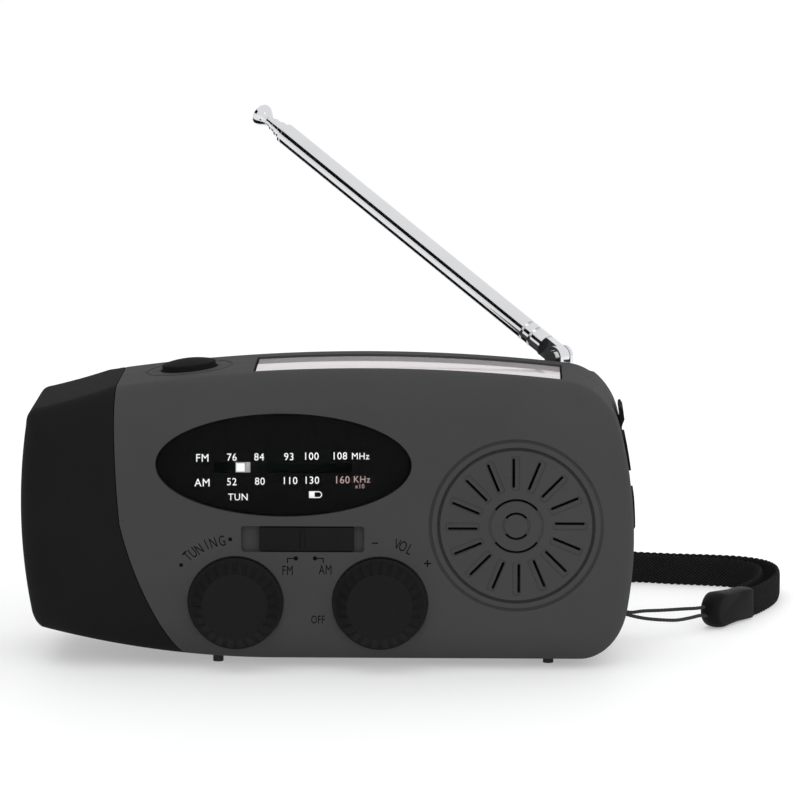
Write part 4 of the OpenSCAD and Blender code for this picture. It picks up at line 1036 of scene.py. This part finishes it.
# battery sign: a case with a round end, its left part filled
x0, x1, z0, z1 = -3.26, -1.26, 36.61, 38.01
sign = [bar(x0, z0, x1, z0 + 0.2), bar(x0, z1 - 0.2, x1, z1), bar(x0, z0 + 0.2, x0 + 1.15, z1 - 0.2),
        arc_shape(x1, (z0 + z1) / 2, 0.5, 0.7, -90, 180)]
marks = join("dial_marks", [flat(q, on_plate) for q in sign])
paint(marks, "print_white")
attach(marks, "radio")

# The face's letters are moulded in the case's own plastic; their near-black colour is painted shade standing
# in for the shading of the moulding.
words = [("FM", -7.68, 21.4, 2.0, 0), ("AM", 0.14, 21.6, 2.0, 0), ("OFF", -1.47, 10.93, 1.7, 0),
    ("V", 14.95, 27.0, 2.2, -16),
         ("O", 16.11, 26.63, 2.2, -22), ("L", 17.47, 25.96, 2.2, -28)]
for i, (ch, x, z) in enumerate((("T", -28.27, 24.36), ("U", -27.16, 25.13), ("N", -25.85, 25.87),
        ("I", -24.38, 26.83),
                                ("N", -22.97, 27.21), ("G", -21.17, 27.6))):
    words.append((ch, x, z, 2.2, math.degrees(math.atan2(z - KNOBS[0].z, x - KNOBS[0].x)) - 90))
face_moulded_letters = lettering("face_marks", words, on_face, "painted_shade_grey", squeeze=0.64, weight=-0.005)

# These moulded dots and bars get the same painted shade as the face's letters.
patches = [dot(-5.95, 24.08, 0.45), bar(-7.78, 23.98, -5.95, 24.18), bar(-7.78, 23.12, -7.58, 23.98),
           dot(-2.0, 24.1, 0.45), bar(-2.0, 24.0, -0.21, 24.2), bar(-0.41, 23.13, -0.21, 24.0),
           dot(-29.69, 22.57, 0.4), dot(-19.49, 28.05, 0.4),
           bar(9.76, 27.24, 11.02, 27.48), bar(20.5, 23.0, 21.94, 23.26), bar(21.09, 22.42, 21.35, 23.84)]
dots = join("face_dots", [flat(q, on_face) for q in patches])
paint(dots, "painted_shade_grey")
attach(dots, "radio")

# ---------------------------------------------------------------- solar panel

n, w0, w1 = 60, solar_lo.x / MM, solar_hi.x / MM
d0, d1 = solar_lo.y / MM, solar_hi.y / MM


def solar_window():
    """The curved clear cover, as strips across so that its top follows the body's bow."""
    xs = np.linspace(w0 + 0.25, w1 - 0.25, n + 1)
    verts, faces = [], []
    for x in xs:
        for y, z in ((d0, -1.4), (d0, -0.65), (d0 + 0.08, -0.5), (d0 + 0.3, -0.42), (d1 - 0.3, -0.42),
                (d1 - 0.08, -0.5), (d1, -0.65), (d1, -1.4)):
            verts.append((x, y, top_at(x) + z))
    m = 8
    faces = [(i * m + j, (i + 1) * m + j, (i + 1) * m + (j + 1) % m, i * m + (j + 1) % m)
        for i in range(n) for j in range(m)]
    faces += [tuple(range(m)), tuple(n * m + j for j in range(m))]
    return add_mesh("solar_window", verts, faces)


panel = solar_window()
sharpen(panel, 35)
# The cover's pale colour is painted reflection.
paint(panel, "solar_clear")
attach(panel, "radio")
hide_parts("solar_cover")

# silver lines over the cell
cell = centre("solar_cell")
lines = []
for i in range(7):
    x = -26 + i * 52 / 6
    lines.append(box_mesh("l", (x - 0.12, -8.2, -3.0), (x + 0.12, 8.2, -2.94)))
for y in (-4.5, 4.5):
    lines.append(box_mesh("l", (-30, y - 0.3, -3.0), (30, y + 0.3, -2.92)))
lines = moved(join("solar_lines", lines), on_top(solar.x, solar.y))
paint(lines, "steel")
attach(lines, "radio")

# ---------------------------------------------------------------- antenna

way = Vector(JOINTS["antenna_slide_2"]["axis"]).normalized()


def section(name, node, body, profile, key="chrome"):
    o = lathe(name, profile, pivot, way, 96)
    sharpen(o, 30)
    paint(o, key)
    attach(o, body)
    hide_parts(node)
    return o


def tube(r, bore, x0, x1, lip=0.18):
    """A tube's wall, with its open end rolled in slightly."""
    return [(bore, x0), (r, x0), (r, x1 - 1.1), (r, x1 - 0.9), (r - 0.05, x1 - 0.75),
        (r - 0.05, x1 - 0.5), (r, x1 - 0.35),
            (r - 0.02, x1 - 0.12), (r - lip, x1), (bore, x1), (bore, x0)]


section("antenna_tube_1_drawn", "antenna_tube_1", "antenna", tube(2.45, 1.9, 12, 91.7))
section("antenna_tube_2_drawn", "antenna_tube_2", "section_2", tube(1.85, 1.55, 17, 93.7))
section("antenna_tube_3_drawn", "antenna_tube_3", "section_3", tube(1.5, 1.25, 18, 95.7))
tip = [(0, 19), (1.2, 19), (1.2, 97.1), (1.3, 97.15), (1.45, 97.6), (1.9, 98.2), (2.35, 99.0),
    (2.52, 99.5), (2.55, 99.8),
       (2.52, 100.1), (2.3, 100.35), (1.9, 100.6), (1.3, 100.82), (0.6, 100.96), (0, 101)]
section("antenna_tip_turned", "antenna_tip_rod", "tip", tip)

# ---------------------------------------------------------------- materials of the CAD nodes that stay

SLOT_LOOK = {
    "case_grey": "case_grey", "case_black": "case_black", "clear_plastic": "clear_plastic",
    "reflector_chrome": "reflector_chrome",
    "led_resin": "led_resin", "circuit_board": "led_board", "black_plastic": "black_plastic",
    "dial_gloss": "dial_gloss",
    "dial_print": "dial_print", "white_plastic": "white_plastic", "steel": "steel", "chrome": "chrome",
    "cone_paper": "cone_paper",
    "magnet": "magnet", "ferrite": "ferrite", "copper": "copper", "battery_wrap": "battery_wrap",
    "solar_clear": "solar_clear",
    "solar_silicon": "solar_silicon", "brass": "brass", "gear_plastic": "gear_plastic",
    "foot_rubber": "foot_rubber",
    "cord_black": "cord_black", "webbing_black": "webbing_black", "component_grey": "component_grey",
}
for part in record["subparts"]:
    obj = frame["nodes"][part["node"]]
    obj.data.materials.clear()
    obj.data.materials.append(M[SLOT_LOOK[part["material_slot"]]])

# ---------------------------------------------------------------- studio

floor_mat, tree, shader = new_material("floor")
soft = noise(tree, 8, 2.0)
pale = mix_colours(tree, soft.outputs["Fac"], (0.61, 0.61, 0.61), (0.62, 0.62, 0.62))
tree.links.new(pale, shader.inputs["Base Color"])
# A lit table: its own glow keeps the contact shadows as faint as a studio shot's
shader.inputs["Emission Color"].default_value = (1, 1, 1, 1)
shader.inputs["Emission Strength"].default_value = 0.36
shader.inputs["Roughness"].default_value = 0.6
# Flat all round, so that no view from far back, as with the antenna drawn out, meets a wall
FLOOR_REACH = 8.0
verts = [(x, y, 0.0) for y in (-FLOOR_REACH, FLOOR_REACH) for x in (-FLOOR_REACH, FLOOR_REACH)]
mesh = bpy.data.meshes.new("floor")
mesh.from_pydata(verts, [], [(0, 1, 3, 2)])
floor = bpy.data.objects.new("floor", mesh)
bpy.context.scene.collection.objects.link(floor)
mesh.shade_smooth()
mesh.materials.append(floor_mat)


def lamp(name, at, aim, size, power, mirrored=False):
    data = bpy.data.lights.new(name, "AREA")
    data.shape = "RECTANGLE"
    data.size, data.size_y = size, size
    data.energy = power
    obj = bpy.data.objects.new(name, data)
    obj.location = at
    obj.rotation_mode = "QUATERNION"
    obj.rotation_quaternion = (Vector(aim) - Vector(at)).to_track_quat("-Z", "Y")
    obj.visible_glossy = mirrored
    bpy.context.scene.collection.objects.link(obj)


def flag(name, middle, half_a, half_b, shades=True):
    """A black card that the camera does not see. One that does not shade only shows in reflections."""
    m, a, b = Vector(middle), Vector(half_a), Vector(half_b)
    card_mesh = bpy.data.meshes.new(name)
    card_mesh.from_pydata([m - a - b, m + a - b, m + a + b, m - a + b], [], [(0, 1, 2, 3)])
    card_mesh.materials.append(card_mat)
    obj = bpy.data.objects.new(name, card_mesh)
    obj.visible_camera = False
    obj.visible_shadow = shades
    obj.visible_diffuse = shades
    bpy.context.scene.collection.objects.link(obj)


card_mat, tree, shader = new_material("card")
cloth = noise(tree, 60, 2.0)
black = mix_colours(tree, cloth.outputs["Fac"], (0.004, 0.004, 0.004), (0.006, 0.006, 0.006))
tree.links.new(black, shader.inputs["Base Color"])
shader.inputs["Specular IOR Level"].default_value = 0.0
# The dark band along the antenna
flag("card_left", (-0.467, -0.161, 0.375), (-0.08, 0.008, -0.127), (-0.066, 0.234, 0.056))
# The dark lower edge of the antenna
flag("card_low", (-0.063, 0.083, 0.03), (0.017, 0.029, -0.013), (-0.04, 0.036, 0.027), shades=False)

lamp("key", (-0.35, -0.55, 0.95), (0, 0, 0.04), 1.0, 3.6)
lamp("fill", (0.8, -0.8, 0.5), (0, 0, 0.04), 0.8, 1.5, True)
lamp("back", (0.1, 0.55, 1.0), (0, 0.2, 0.0), 1.2, 2.0)
world = bpy.data.worlds.new("world")
bpy.context.scene.world = world
world.use_nodes = True
world.node_tree.nodes["Background"].inputs["Color"].default_value = (0.98, 0.985, 1.0, 1)
world.node_tree.nodes["Background"].inputs["Strength"].default_value = 0.95
bpy.context.scene.view_settings.view_transform = "Standard"
